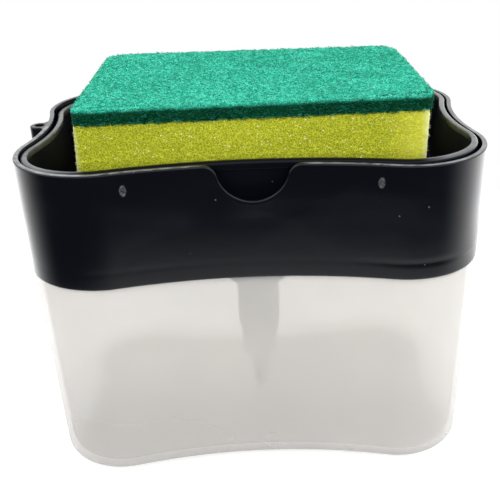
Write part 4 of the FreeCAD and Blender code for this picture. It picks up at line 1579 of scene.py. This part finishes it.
@dataclass
class Dish:
    """The dish that holds the sponge: rim bead, tapered wall, ribbed floor, hub and gussets."""

    outline: CaseOutline
    hub_foot: float
    rim_top: float
    seat: Seat
    under: float = 82.15
    floor: float = 83.5
    rim_foot: float = 97.4
    rim_outer: float = 2.3
    rim_inner: float = 4.25
    rim_crown: float = 0.35
    wall_top: float = 2.9
    wall_foot: float = 4.9
    floor_inset: float = 6.17
    foot_radius: float = 3.0
    inner_radius: float = 1.2
    recess_radius: float = 6.05
    recess: float = 0.8
    hole: float = 2.1
    hub_bore: float = 3.55
    hub_outer: float = 5.55
    rib_height: float = 1.5
    rib_width: float = 2.0
    rib_starts: Triple = (14.0, 26.0, 38.0)
    rib_half_length: float = 24.2
    gusset_reach: float = 12.0
    gusset_depth: float = 4.0
    gusset_thickness: float = 1.4
    bridge_rows: int = 9
    bead_overlap: float = 0.02
    bead_specular: float = 0.12
    # Where the bead's painted highlight starts along x, and its patches
    highlight_ends: Span = (44, 56)
    rim_patches: Waves = Waves(1.4, 0.17, 51)

    def surface(self) -> Array:
        """The dish's points, once round its profile."""
        wall = [
            Corner(self.wall_foot + 4, self.under),
            Corner(self.wall_foot, self.under, self.foot_radius, step=3),
            Corner(self.wall_top, self.rim_foot + 0.8, 0.3),
            Corner(self.rim_inner, self.rim_foot + 0.8, 0.3, step=3),
            Corner(self.floor_inset, self.floor, self.inner_radius),
            Corner(self.floor_inset + 4, self.floor),
        ]
        middle = [
            Corner(self.recess_radius + 1.5, self.floor),
            Corner(self.recess_radius, self.floor, 0.15),
            Corner(self.recess_radius, self.floor - self.recess, 0.1),
            Corner(self.hole, self.floor - self.recess, 0.1),
            Corner(self.hole, self.under, 0.05),
            Corner(self.hub_bore, self.under, 0.05),
            Corner(self.hub_bore, self.hub_foot, 0.15),
            Corner(self.hub_outer, self.hub_foot, 0.35),
            Corner(self.hub_outer, self.under, 0.8),
            Corner(self.hub_outer + 3, self.under),
        ]
        outer, inner = case_rows(profile(wall)), round_rows(profile(middle))
        rows = joined_rows(outer, inner, self.bridge_rows)
        return self.seat.place(self.outline.columns().carry(rows))

    def rim(self) -> Array:
        """The bead round the dish's top, as a grid of points."""
        across = (self.rim_inner - self.bead_overlap, self.rim_outer)
        up = (self.rim_foot, self.rim_top + self.rim_crown)
        corners = block_corners(across, up, (0.3, 0.2, 1.0, 0.4))
        rows = case_rows(profile(corners, closed=True))
        return self.seat.place(self.outline.columns().carry(rows))

    def bead_highlight(self, bead: Array) -> Array:
        """The painted highlight on the bead's top: at both ends and along the back, in patches."""
        on_top = smooth_step(bead[..., 2] - self.seat.slope(bead), self.rim_top - 0.1, self.rim_top)
        at_ends = smooth_step(np.abs(bead[..., 0]), *self.highlight_ends)
        beside = np.maximum(at_ends, bead[..., 1] > 0)
        return on_top * beside * (0.51 + self.rim_patches.at(bead))

    def gussets(self) -> list[Array]:
        """The four gussets that join the hub to the floor."""
        half = self.gusset_thickness / 2
        foot, top = self.under - self.gusset_depth, self.under + 0.4
        near, far = self.hub_outer - 1, self.gusset_reach
        out, back, across = (near, far), (-far, -near), (-half, half)
        plans = ((out, across), (back, across), (across, out), (across, back))
        return [hanging_bar(*zip(x, y), foot, top, 0.25) for x, y in plans]

    def build(self) -> None:
        """Makes the dish, and the bead round it."""
        glossy = DarkPlastic("dark_bead", specular=self.bead_specular)
        grid = self.rim()
        bead = Shells().add(grid, ring=True, tone=self.bead_highlight(grid))
        bead.piece("dish_bead", Body.DISH, Slot.DISH, glossy.material())
        shells = Shells().add(self.surface(), ring=True)
        foot, top = self.floor - 0.4, self.floor + self.rib_height
        for start in self.rib_starts:
            for side in (1, -1):
                near, far = sorted((side * start, side * (start + self.rib_width)))
                low, high = (near, -self.rib_half_length), (far, self.rib_half_length)
                shells.add(self.seat.place(bar(low, high, foot, top, 0.5)), capped=True)
        for gusset in self.gussets():
            shells.add(gusset, capped=True)
        matt = DarkPlastic(
            "dark_dish",
            colour=(0.0030, 0.0034, 0.0068),
            haze_colour=(0.0046, 0.0050, 0.0088),
            roughness=(0.45, 0.5),
            specular=0.03,
        )
        shells.piece("dish_shell", Body.DISH, Slot.DISH, matt.material(), ["sponge_tray"])


# The pump


@dataclass
class Pump:
    """The piston pump, with every piece turned from its own profile."""

    closure_bore: float = 9.0
    closure_hole: float = 7.25
    closure_ledge: float = 1.6
    flutes: int = 30
    flute_depth: float = 0.36
    fluted_columns: int = 360
    barrel: float = 7.05
    barrel_bore: float = 6.05
    chamber: float = 6.1
    chamber_bore: float = 5.1
    barrel_step: float = 27.7
    barrel_floor: float = 28.7
    chamber_floor: float = 18.9
    chamber_foot: float = 17.5
    nipple_top: float = 16.5
    nipple: float = 3.15
    socket: float = 2.05
    socket_top: float = 15.5
    seat: float = 1.2
    seat_foot: float = 17.3
    flange_thickness: float = 1.5
    tube_wall: float = 0.7
    stem_bore: float = 1.8
    stem_socket: float = 2.55
    rod_top: float = 50.0
    stem_seat: float = 76.0
    stem_pocket: float = 2.1
    bush_outer: float = 5.95
    bush_sleeve: float = 4.7
    bush_plug: float = 3.0
    bush_wall: float = 1.1
    bush_flange: float = 1.0
    gasket_width: float = 1.9
    rod_bore: float = 1.2
    rod_floor: float = 39.9
    rod_shaft: float = 2.5
    head_thickness: float = 1.5
    seal_waist: float = 4.4
    lip_height: float = 0.5
    axis_gap: float = 0.02
    outlet_bore: float = 0.8
    spigot: float = 1.9
    outlet_under: float = 82.7
    outlet_rim: float = 83.5
    dome_foot: float = 3.0
    coil_turns: float = 7.0
    wire: float = 0.4
    coil_columns: int = 28
    flat_turn: float = 0.85
    flat_rise: float = 1.9
    coil_room: float = 8.2

    @staticmethod
    def box(node: str) -> Triple:
        """A node's outer radius, foot and top."""
        low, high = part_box(node)
        return high.x / MM, low.z / MM, high.z / MM

    def closure(self) -> None:
        """The screw ring, with shallow upright flutes that are squared half cosine waves."""
        outer, foot, top = self.box("pump_closure")
        ledge = foot + self.closure_ledge
        corners = [
            Corner(self.closure_hole, foot, 0.2),
            Corner(outer, foot, 0.7, step=1.5),
            Corner(outer, top, 0.5),
            Corner(self.closure_bore, top, 0.3),
            Corner(self.closure_bore, ledge, 0.3),
            Corner(self.closure_hole, ledge, 0.2),
        ]
        points = profile(corners, closed=True)
        wave = np.maximum(np.cos(even_angles(self.fluted_columns) * self.flutes), 0) ** 2
        outside = (points[:, 0] > self.closure_bore + 0.6) & (points[:, 1] > foot + 0.8)
        depth = outside * self.flute_depth / outer
        grid = turned(points, 1 - depth[:, None] * wave, self.fluted_columns)
        finish = PalePlastic("closure_moulding", (0.30, 0.38, 0.44), (0.25, 0.32, 0.37))
        shells = Shells().add(grid, ring=True)
        shells.piece("closure_ring", Body.COVER, Slot.CLOSURE, finish.material(), ["pump_closure"])

    def cylinder(self, material: Material) -> None:
        """The housing: flange, wide barrel, narrow chamber, ball seat and tube nipple."""
        flange, foot, top = self.box("pump_housing")
        seat_top = self.seat + self.chamber_floor - self.seat_foot
        corners = [
            Corner(self.socket, foot, 0.15),
            Corner(self.nipple, foot, 0.35),
            Corner(self.nipple, self.nipple_top, 0.4),
            Corner(self.chamber, self.chamber_foot, 0.5),
            Corner(self.chamber, self.barrel_step, 0.35),
            Corner(self.barrel, self.barrel_step, 0.3),
            Corner(self.barrel, top - self.flange_thickness, 0.3),
            Corner(flange, top - self.flange_thickness, 0.25),
            Corner(flange, top, 0.25),
            Corner(self.barrel_bore, top, 0.2),
            Corner(self.barrel_bore, self.barrel_floor, 0.3),
            Corner(self.chamber_bore, self.barrel_floor, 0.3),
            Corner(self.chamber_bore, self.chamber_floor, 0.5),
            Corner(seat_top, self.chamber_floor),
            Corner(self.seat, self.seat_foot),
            Corner(self.seat, self.socket_top),
            Corner(self.socket, self.socket_top),
        ]
        shells = turned_ring(corners)
        shells.piece("pump_cylinder", Body.COVER, Slot.PUMP, material, ["pump_housing"])

    def tube(self) -> None:
        """The dip tube, cut square at its foot."""
        outer, foot, top = self.box("dip_tube")
        across, radii = (outer - self.tube_wall, outer), (0.1, 0.15, 0.15, 0.1)
        shells = turned_ring(block_corners(across, (foot, top), radii, 2))
        finish = PalePlastic("tube_moulding", (0.37, 0.37, 0.36), (0.32, 0.325, 0.32))
        shells.piece("suction_tube", Body.COVER, Slot.TUBE, finish.material(), ["dip_tube"])

    def bush(self, material: Material) -> None:
        """The plug that guides the stem."""
        flange, foot, top = self.box("guide_bush")
        bore = self.bush_sleeve - self.bush_wall
        flange_foot = top - self.bush_flange
        corners = [
            Corner(bore, foot, 0.2),
            Corner(self.bush_sleeve, foot, 0.2),
            Corner(self.bush_sleeve, top - self.bush_plug, 0.2),
            Corner(self.bush_outer, top - self.bush_plug, 0.3),
            Corner(self.bush_outer, flange_foot, 0.1),
            Corner(flange, flange_foot, 0.1),
            Corner(flange, top, 0.2),
            Corner(bore, top, 0.2),
        ]
        shells = turned_ring(corners)
        shells.piece("stem_guide", Body.COVER, Slot.PUMP, material, ["guide_bush"])

    def seals(self, rubber: Material) -> None:
        """The flat gasket under the neck, and the piston's seal with its two lips."""
        outer, foot, top = self.box("pump_gasket")
        across = (outer - self.gasket_width, outer)
        shells = turned_ring(block_corners(across, (foot, top), [0.12] * 4))
        shells.piece("neck_gasket", Body.COVER, Slot.SEAL, rubber, ["pump_gasket"])
        lip, foot, top = self.box("piston_seal")
        middle = (foot + top) / 2
        corners = [
            Corner(self.stem_socket, foot, 0.1),
            Corner(lip, foot, 0.1),
            Corner(lip, foot + self.lip_height, 0.2),
            Corner(self.seal_waist, middle - self.lip_height, 0.4),
            Corner(self.seal_waist, middle + self.lip_height, 0.4),
            Corner(lip, top - self.lip_height, 0.2),
            Corner(lip, top, 0.1),
            Corner(self.stem_socket, top, 0.1),
        ]
        shells = turned_ring(corners)
        shells.piece("piston_ring", Body.PLUNGER, Slot.SEAL, rubber, ["piston_seal"])

    def stem(self, material: Material) -> None:
        """The hollow stem with the upper valve's seat, and the rod that carries the seal."""
        outer, foot, top = self.box("pump_stem")
        seat_top = self.stem_seat + self.stem_pocket - self.seat
        corners = [
            Corner(self.stem_socket, foot, 0.15),
            Corner(outer, foot, 0.25, step=4),
            Corner(outer, top, 0.2),
            Corner(self.stem_pocket, top, 0.1),
            Corner(self.stem_pocket, seat_top),
            Corner(self.seat, self.stem_seat),
            Corner(self.seat, self.stem_seat - 1.5),
            Corner(self.stem_bore, self.stem_seat - 1.5),
            Corner(self.stem_bore, self.rod_top),
            Corner(self.stem_socket, self.rod_top),
        ]
        shells = turned_ring(corners)
        shells.piece("stem_tube", Body.PLUNGER, Slot.PUMP, material, ["pump_stem"])
        head, foot, top = self.box("piston_rod")
        corners = [
            Corner(self.axis_gap, foot),
            Corner(head, foot, 0.25),
            Corner(head, foot + self.head_thickness, 0.2),
            Corner(self.rod_shaft, foot + self.head_thickness, 0.3),
            Corner(self.rod_shaft, top, 0.2),
            Corner(self.rod_bore, top, 0.15),
            Corner(self.rod_bore, self.rod_floor, 0.2),
            Corner(self.axis_gap, self.rod_floor),
        ]
        shells = Shells().add(turned(profile(corners)), capped=True)
        shells.piece("rod_tube", Body.PLUNGER, Slot.PUMP, material, ["piston_rod"])

    def balls(self, material: Material) -> None:
        """The two valve balls: half circles turned about the axis."""
        for node, body in (("inlet_ball", Body.INLET_VALVE), ("outlet_ball", Body.OUTLET_VALVE)):
            _, foot, top = self.box(node)
            radius = (top - foot) / 2
            angles = np.linspace(-math.pi / 2, math.pi / 2, 26)[1:-1]
            points = directions(angles) * radius
            points[:, 1] += (top + foot) / 2
            shells = Shells().add(turned(points, count=48), capped=True)
            shells.piece(f"{node}_bead", body, Slot.BALL, material, [node])

    def outlet(self, material: Material) -> None:
        """The soap outlet in the dish's floor: a domed plate with a spigot into the stem."""
        plate, foot, top = self.box("soap_outlet")
        corners = [
            Corner(self.outlet_bore, foot, 0.1),
            Corner(self.spigot, foot, 0.15),
            Corner(self.spigot, self.outlet_under, 0.1),
            Corner(plate, self.outlet_under, 0.1),
            Corner(plate, self.outlet_rim, 0.3),
            Corner(self.dome_foot, top, 1.2),
            Corner(self.outlet_bore, top, 0.3),
        ]
        shells = turned_ring(corners)
        shells.piece("outlet_cap", Body.DISH, Slot.DISH, material, ["soap_outlet"])

    def spring(self) -> None:
        """The return spring: a wire carried round a helix whose ends lie nearly flat.

        The height goes evenly with the turns between the end coils, and along each end coil it
        rises by the wire's radius times the flat rise. A ring of the wire lies at right angles
        to the helix by its outward and upward directions.
        """
        outer = self.box("return_spring")[0]
        foot = self.chamber_floor + self.wire
        top = self.barrel_floor + self.coil_room - self.wire
        turns = self.coil_turns + 2
        share = np.linspace(0, 1, int(turns * self.coil_columns))
        end, lead = self.flat_turn / turns, self.wire * self.flat_rise
        rise = np.clip((share - end) / (1 - 2 * end), 0, 1)
        first = lead * (share / end).clip(0, 1)
        last = lead - lead * ((1 - share) / end).clip(0, 1)
        height = foot + first + rise * (top - foot - 2 * lead) + last
        out = directions(share * turns * 2 * math.pi)
        path = np.column_stack([out * (outer - self.wire), height])
        out = np.column_stack([out, 0 * height])
        along = np.gradient(path, axis=0)
        along /= np.linalg.norm(along, axis=1, keepdims=True)
        ring = rings(even_angles(12), out, np.cross(along, out))
        grid = path[:, None] + ring[:, ::-1] * self.wire
        shells = Shells().add(grid, capped=True)
        steel = DrawnSteel("spring_wire").material()
        item = shells.piece("return_coil", Body.COVER, Slot.SPRING, steel, ["return_spring"])
        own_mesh(item)

    def build(self) -> None:
        """Makes the pump."""
        finish = PalePlastic("pump_moulding", (0.42, 0.43, 0.43), (0.365, 0.38, 0.38))
        moulding = finish.material()
        rubber = SoftRubber("seal_rubber").material()
        self.closure()
        self.cylinder(moulding)
        self.tube()
        self.bush(moulding)
        self.seals(rubber)
        self.stem(moulding)
        self.balls(ValveGlass("valve_glass").material())
        self.outlet(DarkPlastic("outlet_moulding").material())
        self.spring()


# The sponge


@dataclass(frozen=True)
class Fibres:
    """Short bowed spindles that lie on a surface in all directions."""

    radius: float
    length: Span
    bow: float
    rise: float
    lift: float

    def lie(
        self, centre: Array, normal: Array, tone: Array, swing: float, random: np.random.Generator
    ) -> Shells:
        """Makes fibres at the given places.

        A fibre's path is its middle, plus its length along its direction, plus a bow across it
        and a rise out of the surface that are both 1 - (2t - 1)^2. Rings of three points round
        the path narrow towards both ends.

        Args:
            centre: The fibres' middles.
            normal: The way out of the surface at each.
            tone: How far each one goes to the dark colour: random darkness, and painted shade.
            swing: How far the directions may turn from level, in radians.
            random: Where the chances come from.

        Returns:
            The fibres as closed surfaces.
        """
        count = len(centre)
        sideways = np.where(np.abs(normal[:, 2:]) > 0.5, [[1.0, 0.0, 0.0]], [[0.0, 0.0, 1.0]])
        flat = np.cross(normal, sideways)
        other = np.cross(normal, flat)
        angle = random.uniform(-swing, swing, count)
        along = np.cos(angle)[:, None] * flat + np.sin(angle)[:, None] * other
        along = along + random.normal(0, self.lift, count)[:, None] * normal
        along = along / np.linalg.norm(along, axis=1, keepdims=True)
        across = np.cross(normal, along)
        length = random.uniform(*self.length, count)
        bow = random.normal(0, self.bow, count)
        rise = random.uniform(0.0, self.rise, count)
        share = np.linspace(0, 1, 3)
        arch = 1 - (2 * share - 1) ** 2
        path = centre[:, None] + (length[:, None] * (share - 0.5))[..., None] * along[:, None]
        path = path + (bow[:, None] * arch)[..., None] * across[:, None]
        path = path + (rise[:, None] * arch - self.radius)[..., None] * normal[:, None]
        thick = self.radius * np.array([0.4, 1, 0.4])
        ring = rings(np.array([0, 2, 4]) * math.pi / 3, across, normal)
        points = path[:, :, None] + thick[None, :, None, None] * ring[:, None, ::-1]
        shade = np.broadcast_to(tone[:, None, None], points.shape[:3])
        return Shells().add(points, capped=True, tone=shade)


@dataclass
class Sponge:
    """The sponge: a foam block with a scouring pad bonded on top, and fibres on that."""

    low: Vector
    high: Vector
    joint: float
    seat: Seat
    tilt: float = 0.018
    warp_left: float = 0.9
    warp_right: float = -0.2
    lean: float = 0.75
    taper: float = 1.3
    shift: float = 0.35
    corners: tuple[float, ...] = (2.8, 4.0, 7.0, 6.5)
    foam_inset: float = 0.6
    foam_step: float = 0.33
    cell: float = 0.8
    coarse_cell: float = 2.6
    pit_depth: float = 0.15
    bulge: float = 0.2
    foam_waves: tuple[Waves, ...] = (Waves(14.0, 0.12, 11), Waves(0.7, 0.09, 12))
    strut_ends: int = 6500
    pad_inset: float = 0.2
    pad_step: float = 0.45
    pad_edge: float = 1.0
    pad_rough: float = 0.13
    pad_waves: tuple[Waves, ...] = (Waves(0.7, 1, 41), Waves(1.5, 0.6, 42), Waves(9.0, 0.5, 43))
    sag: float = 0.8
    top_strands: int = 10000
    edge_strands: int = 9500
    painted_shade_edge: float = 3.0

    def settle(self, points: Array) -> Array:
        """Seats the sponge in the sloping dish, and gives its top a slope of its own.

        The foot rises by the seat's slope and lies further left by the lean. The top rises by
        its tilt times x, and by the warps of its back corners in proportion to the place along
        and back. The right side draws in by the taper, with the square of the place back.

        Args:
            points: Points, with 3 as the last axis.

        Returns:
            The seated points.
        """
        share = np.clip((points[..., 2] - self.low.z) / (self.joint - self.low.z), 0, 1)
        right = (points[..., 0] - self.low.x) / (self.high.x - self.low.x)
        back = (points[..., 1] - self.low.y) / (self.high.y - self.low.y)
        warp = back * (self.warp_left * (1 - right) + self.warp_right * right)
        top = self.tilt * points[..., 0] + warp
        seated = points.copy()
        seated[..., 0] -= (1 - share) * self.lean + self.taper * right * back.clip(0, 1) ** 2
        seated[..., 2] += share * top + (1 - share) * self.seat.slope(points)
        return seated

    def columns(self, inset: float, step: float, shift: float = 0.0) -> Columns:
        """Columns round the sponge, whose corners stay concentric."""
        low = (self.low.x + inset + shift, self.low.y + inset)
        high = (self.high.x - inset + shift, self.high.y - inset)
        return block_columns(low, high, [corner - inset for corner in self.corners], step)

    @staticmethod
    def rows(corners: Sequence[Corner], foot_rings: int, top_rings: int) -> Array:
        """A profile's rows, closed by flat rings that shrink to the middle at both ends."""
        foot = np.linspace(0.98, 0, foot_rings, endpoint=False)
        top = np.linspace(0, 0.985, top_rings + 1)[1:]
        return flat_ends(case_rows(profile(corners)), foot, top)

    def foam(self) -> None:
        """The foam: its sides bulge, and bubbles cut its skin open.

        A point moves in by the pit depth where it is inside a bubble, by the smoothed distance
        to the bubble's wall, and out by a bell over the height.
        """
        columns = self.columns(self.foam_inset, self.foam_step)
        corners = [
            Corner(1.0, self.low.z),
            Corner(0, self.low.z, 0.9, step=self.foam_step),
            Corner(0, self.joint, 0.4),
            Corner(0.6, self.joint),
        ]
        grid = columns.carry(self.rows(corners, 6, 4))
        normal = grid_normals(grid)
        height = (grid[..., 2] - self.low.z) / (self.joint - self.low.z)
        swell = self.bulge * np.sin(math.pi * np.clip(height * 0.9 + 0.05, 0, 1))
        for waves in self.foam_waves:
            swell = swell + waves.at(grid)
        pit = smooth_step(cell_edges(grid, self.cell, 21), 0.02, 0.5)
        coarse = smooth_step(cell_edges(grid, self.cell * self.coarse_cell, 31), 0.05, 0.6)
        side = 1 - np.abs(normal[..., 2])
        move = swell * side - self.pit_depth * (pit + 0.3 * coarse)
        grid = self.settle(grid + normal * move[..., None])
        # The tone marks the pits, which the finish darkens as painted shade
        shells = Shells().add(grid, capped=True, tone=np.clip(pit * 0.8 + 0.2 * coarse, 0, 1))
        material = OpenFoam("yellow_foam").material()
        item = shells.piece("foam_block", Body.SPONGE, Slot.FOAM, material, ["sponge_foam"], 180)
        self.foam_ends()

    def foam_ends(self) -> None:
        """The cut ends of the foam's struts, which stand out from its left and right sides."""
        random = np.random.default_rng(61)
        columns = self.columns(self.foam_inset - 0.1, self.foam_step)
        places = (columns, self.low.z + 0.8, self.joint, self.strut_ends, random)
        centre, normal = self.side_places(*places)
        kept = np.abs(normal[:, 0]) > 0.35
        centre, normal = centre[kept], normal[kept]
        fibres = Fibres(radius=0.19, length=(0.6, 1.7), bow=0.02, rise=0.05, lift=2.5)
        shells = fibres.lie(centre, normal, np.zeros(len(centre)), math.pi, random)
        shells.points = [self.settle(part) for part in shells.points]
        # Painted light: near white, standing in for back light shining through the struts
        material = PalePlastic("foam_strut", (0.95, 0.97, 0.62), (0.85, 0.88, 0.35)).material()
        shells.piece("foam_strut_ends", Body.SPONGE, Slot.FOAM, material, (), 180)

    def web(self) -> None:
        """The pad's body: rough all over, with a soft lower edge that hangs over the foam."""
        columns = self.columns(self.pad_inset, self.pad_step, self.shift)
        corners = [
            Corner(0.8, self.joint + 0.1),
            Corner(0.15, self.joint + 0.1, 0.4, step=0.35),
            Corner(0, self.high.z - 0.1, self.pad_edge, step=self.pad_step),
            Corner(1.2, self.high.z - 0.1),
        ]
        grid = columns.carry(self.rows(corners, 5, 60))
        normal = grid_normals(grid)
        rough = sum(waves.at(grid) for waves in self.pad_waves)
        side = 1 - np.abs(normal[..., 2])
        grid = grid + normal * (self.pad_rough * rough * (1 + side))[..., None]
        sag = smooth_step(self.joint + 1.3 - grid[..., 2], 0, 1.3) * side
        grid[..., 2] -= sag * self.sag * smooth_noise(grid * np.array([1, 1, 0]), 1.2, 44)
        # Painted shade: the sides darken from just under the top downwards
        side_shade = np.clip(side * smooth_step(self.high.z - grid[..., 2], 0.3, 1.4), 0, 1)
        shells = Shells().add(self.settle(grid), capped=True, tone=side_shade)
        material = WovenFibre("green_web").material()
        item = shells.piece("pad_web", Body.SPONGE, Slot.SCOURER, material, ["scouring_pad"], 180)

    def top_places(self, count: int, random: np.random.Generator) -> Array:
        """Even random places on the pad's top, within its round corners."""
        middle = np.array([self.low.x + self.high.x, self.low.y + self.high.y]) / 2
        middle[0] += self.shift
        half = np.array([self.high.x - self.low.x, self.high.y - self.low.y]) / 2 - 0.7
        spread = random.uniform(-1, 1, (2 * count, 2)) * half
        right, back = spread[:, 0] > 0, spread[:, 1] > 0
        corner = np.array(self.corners)[2 * back + (right ^ back)]
        beyond = np.maximum(np.abs(spread) - half + corner[:, None], 0)
        spread = spread[np.hypot(beyond[:, 0], beyond[:, 1]) < corner][:count]
        height = np.full(len(spread), self.high.z - 0.05)
        return np.column_stack([middle + spread, height])

    @staticmethod
    def side_places(
        columns: Columns, foot: float, top: float, count: int, random: np.random.Generator
    ) -> tuple[Array, Array]:
        """Even random places on upright sides, with the way out at each."""
        outline = columns.plan(0)
        steps = np.linalg.norm(np.diff(outline, axis=0, append=outline[:1]), axis=1)
        pick = random.choice(len(steps), count, p=steps / steps.sum())
        plan = outline[pick] + random.normal(0, 0.3, count)[:, None] * columns.tangent[pick]
        centre = np.column_stack([plan, random.uniform(foot, top, count)])
        return centre, np.column_stack([columns.normal[pick], np.zeros(count)])

    def pad(self) -> None:
        """The scouring pad: its body, two layers of fibres on top, and fibres on its sides."""
        self.web()
        material = WovenFibre("green_strand", gap_shade_colour=(0.005, 0.20, 0.12)).material()
        fibres = Fibres(radius=0.09, length=(0.5, 1.5), bow=0.2, rise=0.35, lift=0.12)
        layers = {}
        for name, seed in (("pad_strands_under", 7), ("pad_strands_over", 8)):
            random = np.random.default_rng(seed)
            centre = self.top_places(self.top_strands, random)
            normal = np.broadcast_to([0.0, 0.0, 1.0], centre.shape)
            tone = random.uniform(0, 0.7, len(centre)) ** 2
            # Painted shade along the top's front edge, wider towards the right
            painted_edge = 0.6 + self.painted_shade_edge * smooth_step(centre[:, 0], 20, 49)
            painted_edge = smooth_step(painted_edge + self.low.y - centre[:, 1], -0.8, 0.5)
            tone = np.maximum(tone, painted_edge * random.uniform(0.5, 1.0, len(centre)))
            layers[name] = fibres.lie(centre, normal, tone, math.pi, random)
        random = np.random.default_rng(9)
        columns = self.columns(0.25, self.pad_step, self.shift)
        low, high = self.joint - 0.2, self.high.z
        centre, normal = self.side_places(columns, low, high, self.edge_strands, random)
        # Painted shade on the side fibres, darker down from the top
        tone = smooth_step(high - centre[:, 2], 0.0, 1.3) * random.uniform(0.5, 1.15, len(centre))
        layers["pad_strands_edge"] = fibres.lie(centre, normal, tone.clip(0, 1), 0.8, random)
        for name, shells in layers.items():
            shells.points = [self.settle(part) for part in shells.points]
            shells.piece(name, Body.SPONGE, Slot.SCOURER, material, (), 180)

    def build(self) -> None:
        """Makes the sponge."""
        self.foam()
        self.pad()


# The studio


@dataclass
class Studio:
    """The camera, the floor and the light.

    The camera's place is an orbit round its target. Its lens is the focal length in pixels,
    and its shift moves the picture's centre from the lens's own axis.
    """

    image: float = 500.0
    azimuth: float = math.radians(-1.946)
    elevation: float = math.radians(25.373)
    roll: float = math.radians(-1.130)
    distance: float = 277.75
    target: Triple = (10.7, 6.54, 51.91)
    focal_pixels: float = 802.27
    axis_pixel: float = 287.94
    sensor: float = 36.0
    floor_middle: Place = (30.0, 0.0)
    floor_fade: Span = (225.0, 130.0)
    floor_colour: Colour = (0.90, 0.90, 0.895)
    floor_drop: float = 0.05
    floor_glow: float = 0.28
    floor_grain: Relief = (1.5, 0.02)
    white: Colour = (1, 1, 1)
    level_back: Span = (-0.7, 0.6)
    level_light: Span = (1.2, 1.3)
    low_back: Span = (-0.5, 0.75)
    low_light: Span = (0.05, 2.6)
    right: Span = (0.25, 0.9)
    right_boost: float = 1.35
    skew: float = 0.2
    low_up: Span = (-0.08, 0.04)
    high_up: Span = (0.46, 0.64)
    high_light: float = 2.1
    top_up: Span = (0.78, 0.95)
    top_light: float = 0.5

    def camera(self) -> None:
        """Sets the camera at the photograph's place."""
        around, up = self.azimuth, self.elevation
        level = math.cos(up)
        back = Vector((math.sin(around) * level, -math.cos(around) * level, math.sin(up)))
        right = (-back).cross(Vector((0, 0, 1))).normalized()
        above = right.cross(-back)
        turned_right = right * math.cos(self.roll) + above * math.sin(self.roll)
        turned_up = above * math.cos(self.roll) - right * math.sin(self.roll)
        matrix = Matrix((turned_right, turned_up, back)).transposed().to_4x4()
        matrix.translation = (Vector(self.target) + back * self.distance) * MM
        data = bpy.data.cameras.new("camera")
        data.sensor_width = self.sensor
        data.lens = self.focal_pixels * self.sensor / self.image
        data.shift_x = (self.image / 2 - self.axis_pixel) / self.image
        data.clip_start, data.clip_end = 10 * MM, 10000 * MM
        camera = bpy.data.objects.new("camera", data)
        camera.matrix_world = matrix
        bpy.context.scene.collection.objects.link(camera)
        bpy.context.scene.camera = camera

    def floor(self) -> None:
        """A pale round sheet under the caddy, whose edge fades away."""
        circle = directions(even_angles(96)) * self.floor_fade[0] + np.array(self.floor_middle)
        places = np.column_stack([circle, np.full(len(circle), -self.floor_drop)])
        mesh = bpy.data.meshes.new("floor")
        mesh.from_pydata((places * MM).tolist(), [], [tuple(range(96))])
        board = FinishBoard("pale_sheet")
        away = board.add("VectorMath", Vector=board.place)
        away.operation = "DISTANCE"
        away.inputs[1].default_value = (*self.floor_middle, 0.0)
        mesh.materials.append(
            board.finish(
                Base_Color=self.floor_colour,
                Roughness=0.9,
                Specular_IOR_Level=0.0,
                Emission_Color=self.floor_colour,
                Emission_Strength=self.floor_glow,
                Normal=board.relief(self.floor_grain, 3.0),
                Alpha=board.between(away.outputs["Value"], self.floor_fade),
            )
        )
        item = bpy.data.objects.new("floor", mesh)
        bpy.context.scene.collection.objects.link(item)

    def sky(self) -> None:
        """Soft light from all round: white to the camera, and brightest half way up.

        The strengths near the horizon and under it are smooth steps from front to back, which
        start further forward on the right, times a smooth step up to the right. Smooth steps
        over the height join them to the strengths half way up and overhead.
        """
        world = bpy.data.worlds.new("soft_light")
        bpy.context.scene.world = world
        world.use_nodes = True
        board = NodeBoard(world.node_tree)
        way = board.add("TexCoord").outputs["Generated"]
        x, y, z = board.add("SeparateXYZ", Vector=way).outputs
        back = board.sum("MULTIPLY_ADD", x, self.skew, y)
        boost = board.between(x, self.right, (1.0, self.right_boost))
        level = board.between(back, self.level_back, self.level_light)
        low = board.between(back, self.low_back, self.low_light)
        level, low = (board.sum("MULTIPLY", light, boost) for light in (level, low))
        raised = board.between(z, self.high_up, (level, self.high_light))
        overhead = board.between(z, self.top_up, (raised, self.top_light))
        strength = board.between(z, self.low_up, (low, overhead))
        light = board.add("Background", Strength=strength, Color=self.white)
        plain = board.add("Background", Color=self.white)
        seen = board.add("LightPath").outputs["Is Camera Ray"]
        mix = board.add("MixShader", Fac=seen)
        board.put(mix.inputs[1], light.outputs["Background"])
        board.put(mix.inputs[2], plain.outputs["Background"])
        board.add("OutputWorld", Surface=mix.outputs["Shader"])

    def build(self) -> None:
        """Makes the studio."""
        self.camera()
        self.floor()
        self.sky()
        bpy.context.scene.view_settings.view_transform = "Standard"


def main() -> None:
    """Builds the caddy piece by piece."""
    logging.basicConfig(level=logging.INFO, format="%(name)s: %(message)s")
    low, high = (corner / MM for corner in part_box("sponge_tray"))
    skirt_low, skirt_high = (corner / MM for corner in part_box("cover"))
    tank_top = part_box("reservoir")[1].z / MM
    width = skirt_high.y - skirt_low.y
    outline = CaseOutline(length=2 * skirt_high.x, width=width)
    Tank(outline, tank_top).build()
    Cover(outline, top=skirt_high.z).build()
    seat = Seat()
    Dish(outline, hub_foot=low.z, rim_top=high.z, seat=seat).build()
    Pump().build()
    foam_low, foam_high = (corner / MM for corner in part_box("sponge_foam"))
    pad_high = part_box("scouring_pad")[1] / MM
    Sponge(foam_low, pad_high, joint=foam_high.z, seat=seat).build()
    Studio().build()


if __name__ == "__main__":
    main()
